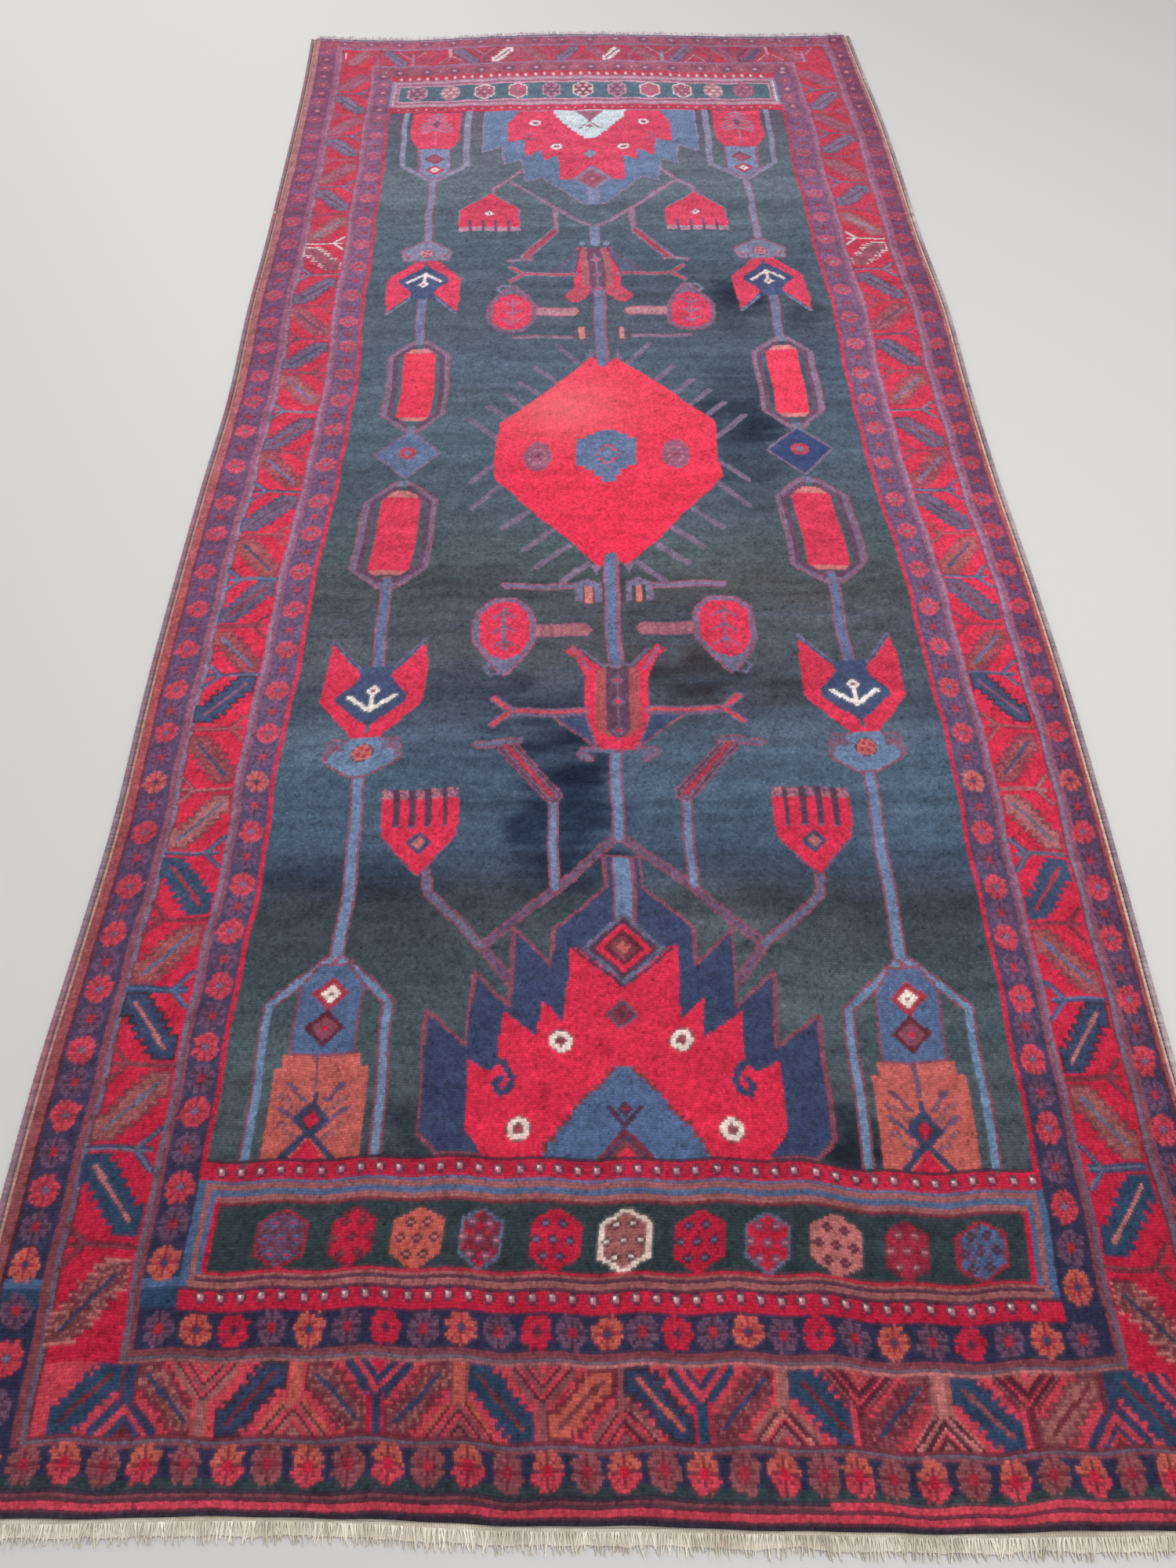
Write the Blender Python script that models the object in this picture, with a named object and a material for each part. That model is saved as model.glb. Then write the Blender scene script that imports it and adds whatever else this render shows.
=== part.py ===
"""A long hand-knotted village rug, laid flat on a floor.

Metres, +Z up. X runs across the rug and Y along it, from the near end to the far end. The rug
lies on z = 0 with the middle of its outline over the origin.
"""

import math
import random

import bmesh
import bpy

# Driving sizes.
THICKNESS = 0.009
SELVEDGE_WIDTH = 0.0155
SELVEDGE_HEIGHT = 0.008
GAP = 0.0003
STRANDS_PER_END = 120

# The rug's long edges, selvedge included. The rug is a little wider past its middle and leans
# left at the near end, as hand-woven rugs do.
SIDE_COLUMNS = ("y", "left", "right")
SIDES = (
    (-1.762, -0.746, 0.724),
    (-1.500, -0.750, 0.727),
    (-1.250, -0.749, 0.729),
    (-1.050, -0.740, 0.737),
    (-0.850, -0.732, 0.745),
    (-0.600, -0.735, 0.752),
    (-0.350, -0.733, 0.753),
    (-0.100, -0.728, 0.750),
    (0.150, -0.720, 0.754),
    (0.450, -0.726, 0.763),
    (0.700, -0.724, 0.756),
    (1.000, -0.725, 0.758),
    (1.250, -0.727, 0.756),
    (1.500, -0.731, 0.747),
    (1.737, -0.740, 0.739),
)

# Where the pile stops at each end. The near end slopes and the far end bows.
END_COLUMNS = ("x", "near", "far")
ENDS = (
    (-0.750, -1.725, 1.727),
    (-0.600, -1.727, 1.712),
    (-0.450, -1.727, 1.707),
    (-0.300, -1.731, 1.722),
    (-0.150, -1.741, 1.733),
    (0.000, -1.745, 1.737),
    (0.150, -1.750, 1.731),
    (0.300, -1.756, 1.722),
    (0.450, -1.758, 1.713),
    (0.600, -1.759, 1.714),
    (0.763, -1.762, 1.721),
)

# Low folds where the rug doesn't lie quite flat: middle, half lengths and height.
FOLD_COLUMNS = ("x", "y", "half_x", "half_y", "height")
FOLDS = (
    (0.290, -1.400, 0.150, 0.300, 0.0060),
    (-0.060, -0.830, 0.170, 0.260, 0.0035),
    (0.240, 0.130, 0.180, 0.220, 0.0030),
    (-0.030, 1.480, 0.380, 0.200, 0.0050),
    (-0.540, 1.150, 0.150, 0.260, 0.0030),
)

# The end strips and their fringe. A strand is cut warp threads twisted together.
END_FINISH_COLUMNS = ("name", "strip_depth", "strand_length", "spread")
END_FINISH = (
    ("end_near", 0.008, 0.027, 0.006),
    ("end_far", 0.010, 0.036, 0.007),
)
STRIP_THICKNESS = 0.0035
STRAND_TIP_HEIGHT = 0.0022
STRAND_TIP_SHARE = 0.62
SIDE_LEAN = 0.004
FRINGE_SEED = 11

ACROSS = 22
ALONG = 48

# Colour, roughness.
WOOL = ((0.30, 0.03, 0.05, 1.0), 0.92)
OVERCAST = ((0.33, 0.14, 0.13, 1.0), 0.90)
COTTON = ((0.66, 0.61, 0.48, 1.0), 0.95)


def clear_scene():
    for obj in list(bpy.data.objects):
        bpy.data.objects.remove(obj, do_unlink=True)


def column(table, columns, name):
    index = columns.index(name)
    return [row[index] for row in table]


def smooth_curve(stations, values, at):
    """A curve through the values that keeps its slope from station to station."""
    last = len(stations) - 1
    if at <= stations[0]:
        return values[0]
    if at >= stations[last]:
        return values[last]
    i = max(k for k in range(last) if stations[k] <= at)

    def slope(k):
        low, high = max(k - 1, 0), min(k + 1, last)
        return (values[high] - values[low]) / (stations[high] - stations[low])

    step = stations[i + 1] - stations[i]
    t = (at - stations[i]) / step
    return (
        values[i] * (1 + 2 * t) * (1 - t) ** 2
        + slope(i) * step * t * (1 - t) ** 2
        + values[i + 1] * t * t * (3 - 2 * t)
        + slope(i + 1) * step * t * t * (t - 1)
    )


def side_edge(name, y):
    return smooth_curve(column(SIDES, SIDE_COLUMNS, "y"), column(SIDES, SIDE_COLUMNS, name), y)


def end_edge(name, x):
    return smooth_curve(column(ENDS, END_COLUMNS, "x"), column(ENDS, END_COLUMNS, name), x)


def fold_height(x, y):
    """How far the rug is lifted off the floor: nothing but in its few low folds."""
    lift = 0.0
    for middle_x, middle_y, half_x, half_y, height in FOLDS:
        reach = math.hypot((x - middle_x) / half_x, (y - middle_y) / half_y)
        if reach < 1.0:
            lift += height * (0.5 + 0.5 * math.cos(math.pi * reach))
    return lift


def rug_point(u, v, inset):
    """The rug's surface in plan: u from its left to its right edge, v from near to far, 0 to 1."""
    x = y = 0.0
    for _ in range(4):
        near, far = end_edge("near", x), end_edge("far", x)
        y = near + v * (far - near)
        left, right = side_edge("left", y) + inset, side_edge("right", y) - inset
        x = left + u * (right - left)
    return x, y


def new_object(name, build, finish, smooth):
    """One named object from a function that fills a bmesh, with its own plain material."""
    mesh = bpy.data.meshes.new(name)
    bm = bmesh.new()
    build(bm)
    bmesh.ops.recalc_face_normals(bm, faces=bm.faces)
    bm.to_mesh(mesh)
    bm.free()
    obj = bpy.data.objects.new(name, mesh)
    bpy.context.scene.collection.objects.link(obj)
    colour, roughness = finish
    material = bpy.data.materials.new(name)
    material.use_nodes = True
    shader = material.node_tree.nodes["Principled BSDF"]
    shader.inputs["Base Color"].default_value = colour
    shader.inputs["Roughness"].default_value = roughness
    shader.inputs["Metallic"].default_value = 0.0
    mesh.materials.append(material)
    if smooth:
        mesh.shade_smooth()
        mesh.set_sharp_from_angle(angle=math.radians(50))
    return obj


def build_body(bm):
    """The knotted panel: one cloth thickness everywhere, lying on the floor but for its folds."""
    inset = SELVEDGE_WIDTH + GAP
    rows = []
    for j in range(ALONG + 1):
        row = []
        for i in range(ACROSS + 1):
            x, y = rug_point(i / ACROSS, j / ALONG, inset)
            under = fold_height(x, y)
            row.append((bm.verts.new((x, y, under)), bm.verts.new((x, y, under + THICKNESS))))
        rows.append(row)
    for j in range(ALONG):
        for i in range(ACROSS):
            corners = rows[j][i], rows[j][i + 1], rows[j + 1][i + 1], rows[j + 1][i]
            bm.faces.new([top for under, top in corners])
            bm.faces.new([under for under, top in reversed(corners)])
    rim = [rows[0][i] for i in range(ACROSS + 1)]
    rim += [rows[j][ACROSS] for j in range(1, ALONG + 1)]
    rim += [rows[ALONG][i] for i in reversed(range(ACROSS))]
    rim += [rows[j][0] for j in reversed(range(1, ALONG))]
    for (under, top), (next_under, next_top) in zip(rim, rim[1:] + rim[:1]):
        bm.faces.new((under, next_under, next_top, top))


def selvedge_builder(side):
    """Two wrapped cords side by side, joined low between them, along one edge of the panel."""
    profile_columns = ("across", "up")
    profile = (
        (0.00, 0.25),
        (0.16, 0.00),
        (0.84, 0.00),
        (1.00, 0.25),
        (0.98, 0.62),
        (0.78, 0.90),
        (0.58, 0.66),
        (0.30, 1.00),
        (0.04, 0.70),
    )
    across = column(profile, profile_columns, "across")
    up = column(profile, profile_columns, "up")

    def build(bm):
        rings = []
        for j in range(ALONG + 1):
            outer_x, outer_y = rug_point(0.0 if side == "left" else 1.0, j / ALONG, 0.0)
            inner_x, inner_y = rug_point(0.0 if side == "left" else 1.0, j / ALONG, SELVEDGE_WIDTH)
            ring = []
            for share, height in zip(across, up):
                x = outer_x + share * (inner_x - outer_x)
                y = outer_y + share * (inner_y - outer_y)
                lift = fold_height(x, y)
                ring.append(bm.verts.new((x, y, lift + height * SELVEDGE_HEIGHT)))
            rings.append(ring)
        count = len(profile)
        for ring, following in zip(rings, rings[1:]):
            for k in range(count):
                n = (k + 1) % count
                bm.faces.new((ring[k], ring[n], following[n], following[k]))
        bm.faces.new(rings[0])
        bm.faces.new(list(reversed(rings[-1])))

    return build


def panel_end(v):
    """The panel's end as a line of points, run out to the selvedges' outer faces."""
    points = [rug_point(0.0, v, 0.0)]
    points += [rug_point(i / ACROSS, v, SELVEDGE_WIDTH + GAP) for i in range(ACROSS + 1)]
    points.append(rug_point(1.0, v, 0.0))
    return points


def along_line(points, x):
    for (x0, y0), (x1, y1) in zip(points, points[1:]):
        if x <= x1:
            return y0 + (y1 - y0) * (x - x0) / (x1 - x0)
    return points[-1][1]


def fringe_builder(v, strip_depth, strand_length, spread):
    """The cream strip past the pile, and the strands that come out of it, level on the floor."""
    away = -1.0 if v == 0.0 else 1.0

    def build(bm):
        chance = random.Random(FRINGE_SEED + int(v))
        line = panel_end(v)
        left, right = line[0][0], line[-1][0]
        steps = 2 * STRANDS_PER_END + 1
        sections = []
        for i in range(steps + 1):
            x = left + (right - left) * i / steps
            back = along_line(line, x) + away * GAP
            front = back + away * strip_depth
            sections.append(
                {
                    "back_low": bm.verts.new((x, back, 0.0)),
                    "back_high": bm.verts.new((x, back, STRIP_THICKNESS)),
                    "front_high": bm.verts.new((x, front, STRIP_THICKNESS)),
                    "front_low": bm.verts.new((x, front, 0.0)),
                }
            )
        loop = ("back_low", "back_high", "front_high", "front_low")
        for i in range(steps):
            here, there = sections[i], sections[i + 1]
            for name, following in zip(loop, loop[1:] + loop[:1]):
                face = (here[name], there[name], there[following], here[following])
                if name != "front_high" or i % 2 == 0:
                    bm.faces.new(face)
                else:
                    strand(bm, face, chance)
        bm.faces.new([sections[0][name] for name in loop])
        bm.faces.new([sections[-1][name] for name in reversed(loop)])

    def strand(bm, root, chance):
        """One square lock of threads drawn out from a root face, with a slight bend."""
        length = strand_length + spread * (chance.random() - 1.0)
        lean = SIDE_LEAN * (2.0 * chance.random() - 1.0)
        bend = 0.4 * SIDE_LEAN * (2.0 * chance.random() - 1.0)
        middle_x = sum(corner.co.x for corner in root) / len(root)
        ring = list(root)
        for reach, narrow, shift in ((0.5, 0.90, bend + 0.4 * lean), (1.0, STRAND_TIP_SHARE, lean)):
            top = STRIP_THICKNESS + reach * (STRAND_TIP_HEIGHT - STRIP_THICKNESS)
            following = []
            for corner in root:
                x = middle_x + narrow * (corner.co.x - middle_x) + shift
                y = corner.co.y + away * reach * length
                following.append(bm.verts.new((x, y, top if corner.co.z > 0.0 else 0.0)))
            for k in range(4):
                n = (k + 1) % 4
                bm.faces.new((ring[k], ring[n], following[n], following[k]))
            ring = following
        bm.faces.new(ring)

    return build


def centre_on_origin(objects):
    """Moves all the meshes together, so that the middle of the whole outline is over the origin."""
    xs = [vertex.co.x for obj in objects for vertex in obj.data.vertices]
    ys = [vertex.co.y for obj in objects for vertex in obj.data.vertices]
    shift_x, shift_y = (min(xs) + max(xs)) / 2, (min(ys) + max(ys)) / 2
    for obj in objects:
        for vertex in obj.data.vertices:
            vertex.co.x -= shift_x
            vertex.co.y -= shift_y


def build_rug():
    pieces = [new_object("rug_body", build_body, WOOL, smooth=True)]
    for side in ("left", "right"):
        pieces.append(new_object(f"selvedge_{side}", selvedge_builder(side), OVERCAST, smooth=True))
    for v, (name, strip_depth, strand_length, spread) in zip((0.0, 1.0), END_FINISH):
        builder = fringe_builder(v, strip_depth, strand_length, spread)
        pieces.append(new_object(name, builder, COTTON, smooth=False))
    centre_on_origin(pieces)


clear_scene()
build_rug()
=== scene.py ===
"""Looks of a long hand-knotted village rug: pile, overcast edges, cotton ends and fringe."""

import math

import bpy
import numpy as np
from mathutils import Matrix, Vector
from mathutils.bvhtree import BVHTree


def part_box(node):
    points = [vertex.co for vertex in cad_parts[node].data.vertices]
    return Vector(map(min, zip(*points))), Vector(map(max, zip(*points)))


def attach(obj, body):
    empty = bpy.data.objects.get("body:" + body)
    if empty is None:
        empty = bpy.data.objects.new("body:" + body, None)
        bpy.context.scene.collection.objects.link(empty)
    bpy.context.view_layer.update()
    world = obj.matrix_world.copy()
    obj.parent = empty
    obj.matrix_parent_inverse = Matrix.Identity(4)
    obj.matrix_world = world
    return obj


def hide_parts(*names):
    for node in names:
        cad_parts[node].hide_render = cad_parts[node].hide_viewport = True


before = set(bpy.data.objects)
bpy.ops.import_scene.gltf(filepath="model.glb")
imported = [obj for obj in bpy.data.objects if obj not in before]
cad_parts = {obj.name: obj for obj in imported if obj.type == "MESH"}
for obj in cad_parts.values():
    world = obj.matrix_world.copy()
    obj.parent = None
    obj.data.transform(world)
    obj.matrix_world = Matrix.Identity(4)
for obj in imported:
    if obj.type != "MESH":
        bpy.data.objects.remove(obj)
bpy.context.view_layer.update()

# The weave. One panel is knotted row by row on cotton warps, on an upright loom. It is never
# quite straight: the edges wander, the near rows slope to the right and the far rows bow.
# The chart below counts knots across and rows along, and this section says where each one lies.
KNOTS, ROWS = 440, 960
KNOT_SIZE, ROW_SIZE = 0.003286, 0.003608
FIRST_ROW = -1.727
CLOTH = 0.009
SIDE_BORDER, NEAR_BORDER, FAR_BORDER = 69, 104, 118
BORDER_WIDTHS = (
    # y, left, right
    (-1.52, 0.229, 0.2125), (-1.34, 0.229, 0.197), (-1.00, 0.226, 0.201), (-0.80, 0.217, 0.203),
    (-0.60, 0.228, 0.207), (-0.40, 0.230, 0.210), (-0.20, 0.236, 0.216), (0.00, 0.239, 0.227),
    (0.40, 0.235, 0.234), (0.80, 0.228, 0.236), (1.00, 0.227, 0.241), (1.29, 0.223, 0.234),
)
NEAR_SLOPE = ((-0.30, 0.0), (0.0, -0.006), (0.22, -0.016), (0.30, -0.027), (0.35, -0.030))
FAR_BOW = ((-0.50, -0.019), (0.0, -0.010), (0.50, -0.019))
SLOPE_FADES = ((NEAR_BORDER, 1.0), (174, 0.66), (215, 0.33), (312, 0.0))
BOW_FADES = ((756, 0.0), (ROWS - FAR_BORDER, 1.0))
SWAY = 0.0016


def panel_outline():
    """The panel's four edges as runs of points, from the solid: near, right, far and left."""
    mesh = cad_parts["rug_body"].data
    walls = [face for face in mesh.polygons if abs(face.normal.z) < 0.5]
    spots = {
        (round(mesh.vertices[v].co.x, 5), round(mesh.vertices[v].co.y, 5))
        for face in walls
        for v in face.vertices
    }
    rim = sorted(spots, key=lambda spot: math.atan2(spot[1], spot[0]))
    corners = [
        max(range(len(rim)), key=lambda k: sx * rim[k][0] + sy * rim[k][1])
        for sx, sy in ((-1, -1), (1, -1), (1, 1), (-1, 1))
    ]
    rim = rim[corners[0] :] + rim[: corners[0]] + [rim[corners[0]]]
    turns = [(corner - corners[0]) % (len(rim) - 1) for corner in corners] + [len(rim) - 1]
    return [np.array(rim[a : b + 1]) for a, b in zip(turns, turns[1:])]


near_edge, right_edge, far_edge, left_edge = panel_outline()


def along(table, at, column=1):
    """Reads a short table at any place between its rows."""
    rows = sorted(table)
    return np.interp(at, [row[0] for row in rows], [row[column] for row in rows])


def edge_y(edge, x):
    return np.interp(x, *edge[np.argsort(edge[:, 0])].T)


def edge_x(edge, y):
    run = edge[np.argsort(edge[:, 1])]
    return np.interp(y, run[:, 1], run[:, 0])


def lay(columns, rows):
    """Where the chart's lines lie on the floor, for arrays of knot and row numbers."""
    start = edge_y(near_edge, -0.45)
    pitch = (edge_y(far_edge, 0.0) - start) / ROWS
    shift = start - FIRST_ROW
    x = (columns - KNOTS / 2) * KNOT_SIZE
    for _ in range(3):
        near_end = edge_y(near_edge, x) - start
        far_end = edge_y(far_edge, x) - start - pitch * ROWS
        slope, bow = along(NEAR_SLOPE, x), along(FAR_BOW, x)
        toward = np.clip(rows / NEAR_BORDER, 0, 1)
        y = start + pitch * rows
        y = y + np.where(
            rows < NEAR_BORDER,
            near_end + toward * (slope - near_end),
            slope * along(SLOPE_FADES, rows),
        )
        past = np.clip((rows - ROWS + FAR_BORDER) / FAR_BORDER, 0, 1)
        y = y + np.where(past > 0, bow + past * (far_end - bow), bow * along(BOW_FADES, rows))
        left, right = edge_x(left_edge, y), edge_x(right_edge, y)
        field_left = left + along(BORDER_WIDTHS, y - shift, 1)
        field_right = right - along(BORDER_WIDTHS, y - shift, 2)
        share = columns / SIDE_BORDER
        x = left + share * (field_left - left)
        share = (columns - SIDE_BORDER) / (KNOTS - 2 * SIDE_BORDER)
        x = np.where(share > 0, field_left + share * (field_right - field_left), x)
        share = (columns - KNOTS + SIDE_BORDER) / SIDE_BORDER
        x = np.where(share > 0, field_right + share * (right - field_right), x)
    inside = np.minimum(np.minimum(columns, KNOTS - columns), np.minimum(rows, ROWS - rows))
    hold = np.clip(inside / 12, 0, 1)
    x = x + SWAY * hold * (np.sin(rows / 17.0 + columns / 90.0) + 0.7 * np.sin(rows / 6.3))
    y = y + SWAY * hold * (np.sin(columns / 5.1 + rows / 60.0) + 1.1 * np.sin(columns / 19.0))
    ripple = np.sin(columns / 11.0) + np.sin(columns / 29.0 + 1) + 0.5 * np.sin(columns / 4.3)
    y = y + 0.0013 * ripple * np.clip(0.5 + inside / 5, 0, 1) * np.clip((22 - rows) / 12, 0, 1)
    return x, y


def blend(grid, at_y, at_x, ease=False):
    """Reads a grid of values at any place between its lines."""
    j = np.clip(at_y.astype(int), 0, grid.shape[0] - 2)
    i = np.clip(at_x.astype(int), 0, grid.shape[1] - 2)
    v, u = at_y - j, at_x - i
    if ease:
        v, u = v * v * (3 - 2 * v), u * u * (3 - 2 * u)
    low = grid[j, i] * (1 - u) + grid[j, i + 1] * u
    return low * (1 - v) + (grid[j + 1, i] * (1 - u) + grid[j + 1, i + 1] * u) * v


def cloth_top(x, y):
    """The solid's upper face under each point, low folds and all, smoothed between its facets."""
    steps_x, steps_y = 61, 141
    low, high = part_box("rug_body")
    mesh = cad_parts["rug_body"].data
    tree = BVHTree.FromPolygons([v.co for v in mesh.vertices], [tuple(f.vertices) for f in mesh.polygons])
    tops = np.full((steps_y, steps_x), CLOTH)
    for j, grid_y in enumerate(np.linspace(low.y, high.y, steps_y)):
        for i, grid_x in enumerate(np.linspace(low.x, high.x, steps_x)):
            hit = tree.ray_cast(Vector((grid_x, grid_y, 1.0)), Vector((0.0, 0.0, -1.0)))[0]
            if hit:
                tops[j, i] = hit.z
    middle = tops[1:-1, 1:-1]
    around = tops[2:, 1:-1] + tops[:-2, 1:-1] + tops[1:-1, 2:] + tops[1:-1, :-2]
    blurred = np.pad((2 * middle + around) / 6, 1)
    blurred[[0, -1]], blurred[:, [0, -1]] = tops[[0, -1]], tops[:, [0, -1]]
    at_x = (x - low.x) / (high.x - low.x) * (steps_x - 1)
    at_y = (y - low.y) / (high.y - low.y) * (steps_y - 1)
    return blend(blurred, at_y, at_x)


# The pile's drawing. The knotter ties wool of about two dozen dyes from memory and from small
# samples: frames of rosettes and leaves around a field with a medallion, palmettes and stems.
# Sizes here are millimetres on the flat chart, from the middle of the rug, near end downwards.
DYES_FADED_AND_LIT = (
    # Name, then the colour at the near end, a third of the way and at the far end, then the wear in
    # millimetres. Each lot was dyed apart. The change along the rug is partly fading and partly painted
    # light: darker at the near end as painted shade, paler at the far end as painted sheen.
    "field #4b565e #505a62 #666e7b 0.0", "crimson #b2203a #da3652 #c34258 0.0",
    "cherry #cf2844 #d83a56 #d84c68 0.0", "scarlet #e42c4c #e2264a #f05a6e 0.0",
    "flame #b83c48 #cb5468 #b6667e 0.0", "red #96283a #b84456 #b0485e 0.0",
    "rose #783c45 #9a5c74 #a26278 0.1", "pink #b46e76 #ba7484 #c692a4 0.0",
    "coral #ba3e4d #c8505f #b95a6c 0.0", "orange #b4564c #ca7272 #d79494 0.0",
    "rust #84484c #ac5458 #b07880 0.1", "salmon #b46a68 #a86a70 #c0929a 0.0",
    "tan #955a58 #aa585e #ae6a72 0.0", "brown #70383e #964c56 #985c6a 0.5",
    "madder #6c2a36 #944252 #a5586a 0.2", "maroon #48202a #803848 #8c4c60 0.4",
    "plum #442a3c #66465c #7d556e 0.3", "line #625464 #8e7c98 #9c7692 0.2",
    "mauve #62445a #76627c #98859c 0.1", "heather #62445a #7a587a #8e6484 0.1",
    "dusk #60657a #705a72 #82728c 0.1", "slate #60657a #706a84 #8c8ea6 0.1",
    "smoke #5a5060 #78687c #7c6c86 0.1", "navy #323a56 #4a5474 #50587e 0.2",
    "indigo #2c3450 #38446a #44507a 0.2", "guard #2c2c45 #6a5776 #885c7c 0.2",
    "ink #342c38 #463646 #644c60 0.5", "teal #2c4058 #4c5672 #646a82 0.2",
    "panel #303a3e #4a585e #5c6e7c 0.3", "azure #4a5e80 #647294 #7080a0 0.0",
    "sky #6c829e #7286a5 #848cab 0.0", "ice #b8c8c8 #c0ccd0 #cad4d9 0.0",
    "cream #e4c9bc #f2e8e0 #ead0d2 0.0",
)
DYES = {name: lots for name, *lots in (row.split() for row in DYES_FADED_AND_LIT)}
CODE = {name: index for index, name in enumerate(DYES)}
# In the tables a dye is one sign, as on a knotter's paper chart.
SIGNS = "a azure, b brown, c coral, d madder, e teal, f flame, h heather, i pink, j ink, k dusk, l slate"
SIGNS += ", m maroon, n navy, o orange, p plum, r rust, s salmon, t tan, u mauve, w cream, x crimson"
SIGNS += ", y rose, z red"
CODE.update((sign[0], CODE[sign[2:]]) for sign in SIGNS.split(", "))

chart = np.full((ROWS, KNOTS), CODE["madder"], np.uint8)
KNOT_MM, ROW_MM, START_MM = KNOT_SIZE * 1000, ROW_SIZE * 1000, FIRST_ROW * 1000
knot_x = (np.arange(KNOTS) + 0.5 - KNOTS / 2) * KNOT_SIZE * 1000
row_y = START_MM + (np.arange(ROWS) + 0.5) * ROW_SIZE * 1000

# Frames. Every row of knots crosses all of them, so none is a strip of its own. Here each one is
# filled whole and the next is laid into it, from the outside in. The numbers are knots from the
# left and right edge, then rows from the near and far end.
for left, right, near, far, dye in (
    (0, 0, 0, 0, "rust"), (4, 2, 0, 0, "maroon"), (5, 3, 7, 5, "guard"), (19, 14, 18, 15, "rose"),
    (22, 17, 19, 16, "line"), (24, 19, 20, 18, "madder"), (25, 20, 21, 19, "crimson"),
    (50, 48, 41, 44, "tan"), (50, 48, 42, 44, "line"), (52, 50, 43, 46, "rose"),
    (54, 52, 45, 49, "guard"), (67, 67, 56, 61, "crimson"), (69, 69, 103, 118, "ink"),
    (69, 69, 104, 118, "field"),
):
    chart[near : ROWS - far, left : KNOTS - right] = CODE[dye]
# The rows before the near guard and after the far one.
for first, last, ends, dye in (
    (0, 7, 0, "ink"), (2, 4, 2, "coral"), (5, 6, 2, "rose"),
    (ROWS - 4, ROWS - 2, 2, "mauve"), (ROWS - 2, ROWS, 0, "ink"),
):
    chart[first:last, ends : KNOTS - ends] = CODE[dye]
chart[5:7, 285:-3] = CODE["coral"]
chart[41, 200:-68] = CODE["salmon"]

# End panels. A dark ground lies within stripes of one to three knots, at each end of the field. A
# band of small white dots is tied before it and after it.
for first, last, stripes in (
    (62, 97, ("azure 1 3", "tan 2 2", "azure 1 2", "rust 2 2")),
    (851, 891, ("mauve 1 2", "pink 3 2", "mauve 1 1", "rose 2 1", "pink 2 1")),
):
    depth = 0
    for stripe in stripes:
        dye, rows, knots = stripe.split()
        chart[first:last, 67 + depth : KNOTS - 67 - depth] = CODE[dye]
        first, last, depth = first + int(rows), last - int(rows), depth + int(knots)
    chart[first:last, 67 + depth : KNOTS - 67 - depth] = CODE["panel"]
for row, inset, dye in (
    (92, 72, "azure"), (91, 74, "tan"), (90, 74, "tan"), (89, 74, "madder"),
    (62, 67, "plum"), (64, 69, "tan"), (65, 72, "plum"), (66, 72, "tan"), (67, 74, "crimson"),
    (842, 69, "ink"), (843, 67, "crimson"), (891, 68, "rose"),
):
    chart[row, inset:-inset] = CODE[dye]
chart[68:90, 74:76] = chart[68:90, -76:-74] = CODE["crimson"]


def knit(rows_of_signs, knot, row, dyes):
    """A small repeat, tied sign by sign, with its middle on one knot."""
    height, width = len(rows_of_signs), len(rows_of_signs[0])
    for j, signs in enumerate(rows_of_signs):
        for i, sign in enumerate(signs):
            if sign in dyes:
                chart[row + height // 2 - j, knot - width // 2 + i] = CODE[dyes[sign]]


DOT = (".nn.", "nwpn", "nppn", ".nn.")
WIDE_DOT = (".pp.", "nwpn", "nwwn", "nwpn", ".pp.")
for row, shape, ring, white, last in (
    (59, DOT, "plum", "cream", 366),
    (99, DOT, "plum", "cream", 371),
    (846, DOT, "red", "pink", 369),
    (894, WIDE_DOT, "rose", "cream", 369),
):
    for knot in np.arange(75, last, 7.2).astype(int):
        knit(shape, knot, row, {"n": ring, "w": white, "p": "pink"})

# Guards. Two dark stripes run all around, inside and outside the main border. In each stands a row
# of rosettes with eight petals around a small heart, a red one and a mauve one by turns.
ROSETTE_DYES = {
    # kind: petals, lines between them, heart, and the petals of its lower half
    "r": "fzlf", "c": "xzpx", "m": "hpzh", "o": "ozeo", "d": "rdzr", "s": "odxc", "p": "ydiy", "q": "pdip",
}
frays = np.random.default_rng(5)


def rosette(knot, row, kind, wide=10.4, tall=10.4):
    petals, lines, heart, lower = ROSETTE_DYES[kind]
    rows = slice(max(int(row - tall / 2), 0), min(int(row + tall / 2 + 2), ROWS))
    columns = slice(max(int(knot - wide / 2), 0), min(int(knot + wide / 2 + 2), KNOTS))
    v, u = np.mgrid[rows, columns] + 0.0
    u, v = (u - knot) / wide * 2, (v - row) / tall * 2
    reach, wave = np.hypot(u, v), np.abs(np.sin(4 * np.arctan2(v, u)))
    part, out = chart[rows, columns], reach + frays.normal(0, 0.065, reach.shape)
    part[out < 0.98 + 0.08 * wave] = CODE[petals]
    part[(out < 0.98 + 0.08 * wave) & (v < -0.1)] = CODE[lower]
    part[(out < 0.86) & (reach * wave < 0.12)] = CODE[lines]
    part[reach < (0.3 if kind in "mdsq" else 0.22)] = CODE[heart]


RED_ROWS = (42, 69.5, 94, 120, 144.5, 167.5, 191, 212.5, 237, 262, 287.5, 312.5, 336, 361, 386)
RED_ROWS += (412, 435, 463, 491, 515.5, 539, 565, 589, 616, 645.6, 671, 697, 725, 751, 779, 807)
RED_ROWS += (834, 860, 886, 912, 938)
between = tuple((a + b) / 2 for a, b in zip(RED_ROWS, RED_ROWS[1:]))
rosette_rows = sorted(RED_ROWS + between + (28, 951))


def early(row):
    """How many rows sooner the right side has the same flower than the left."""
    return 4.3 * min(max((600 - row) / 60, 0), 1)


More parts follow.
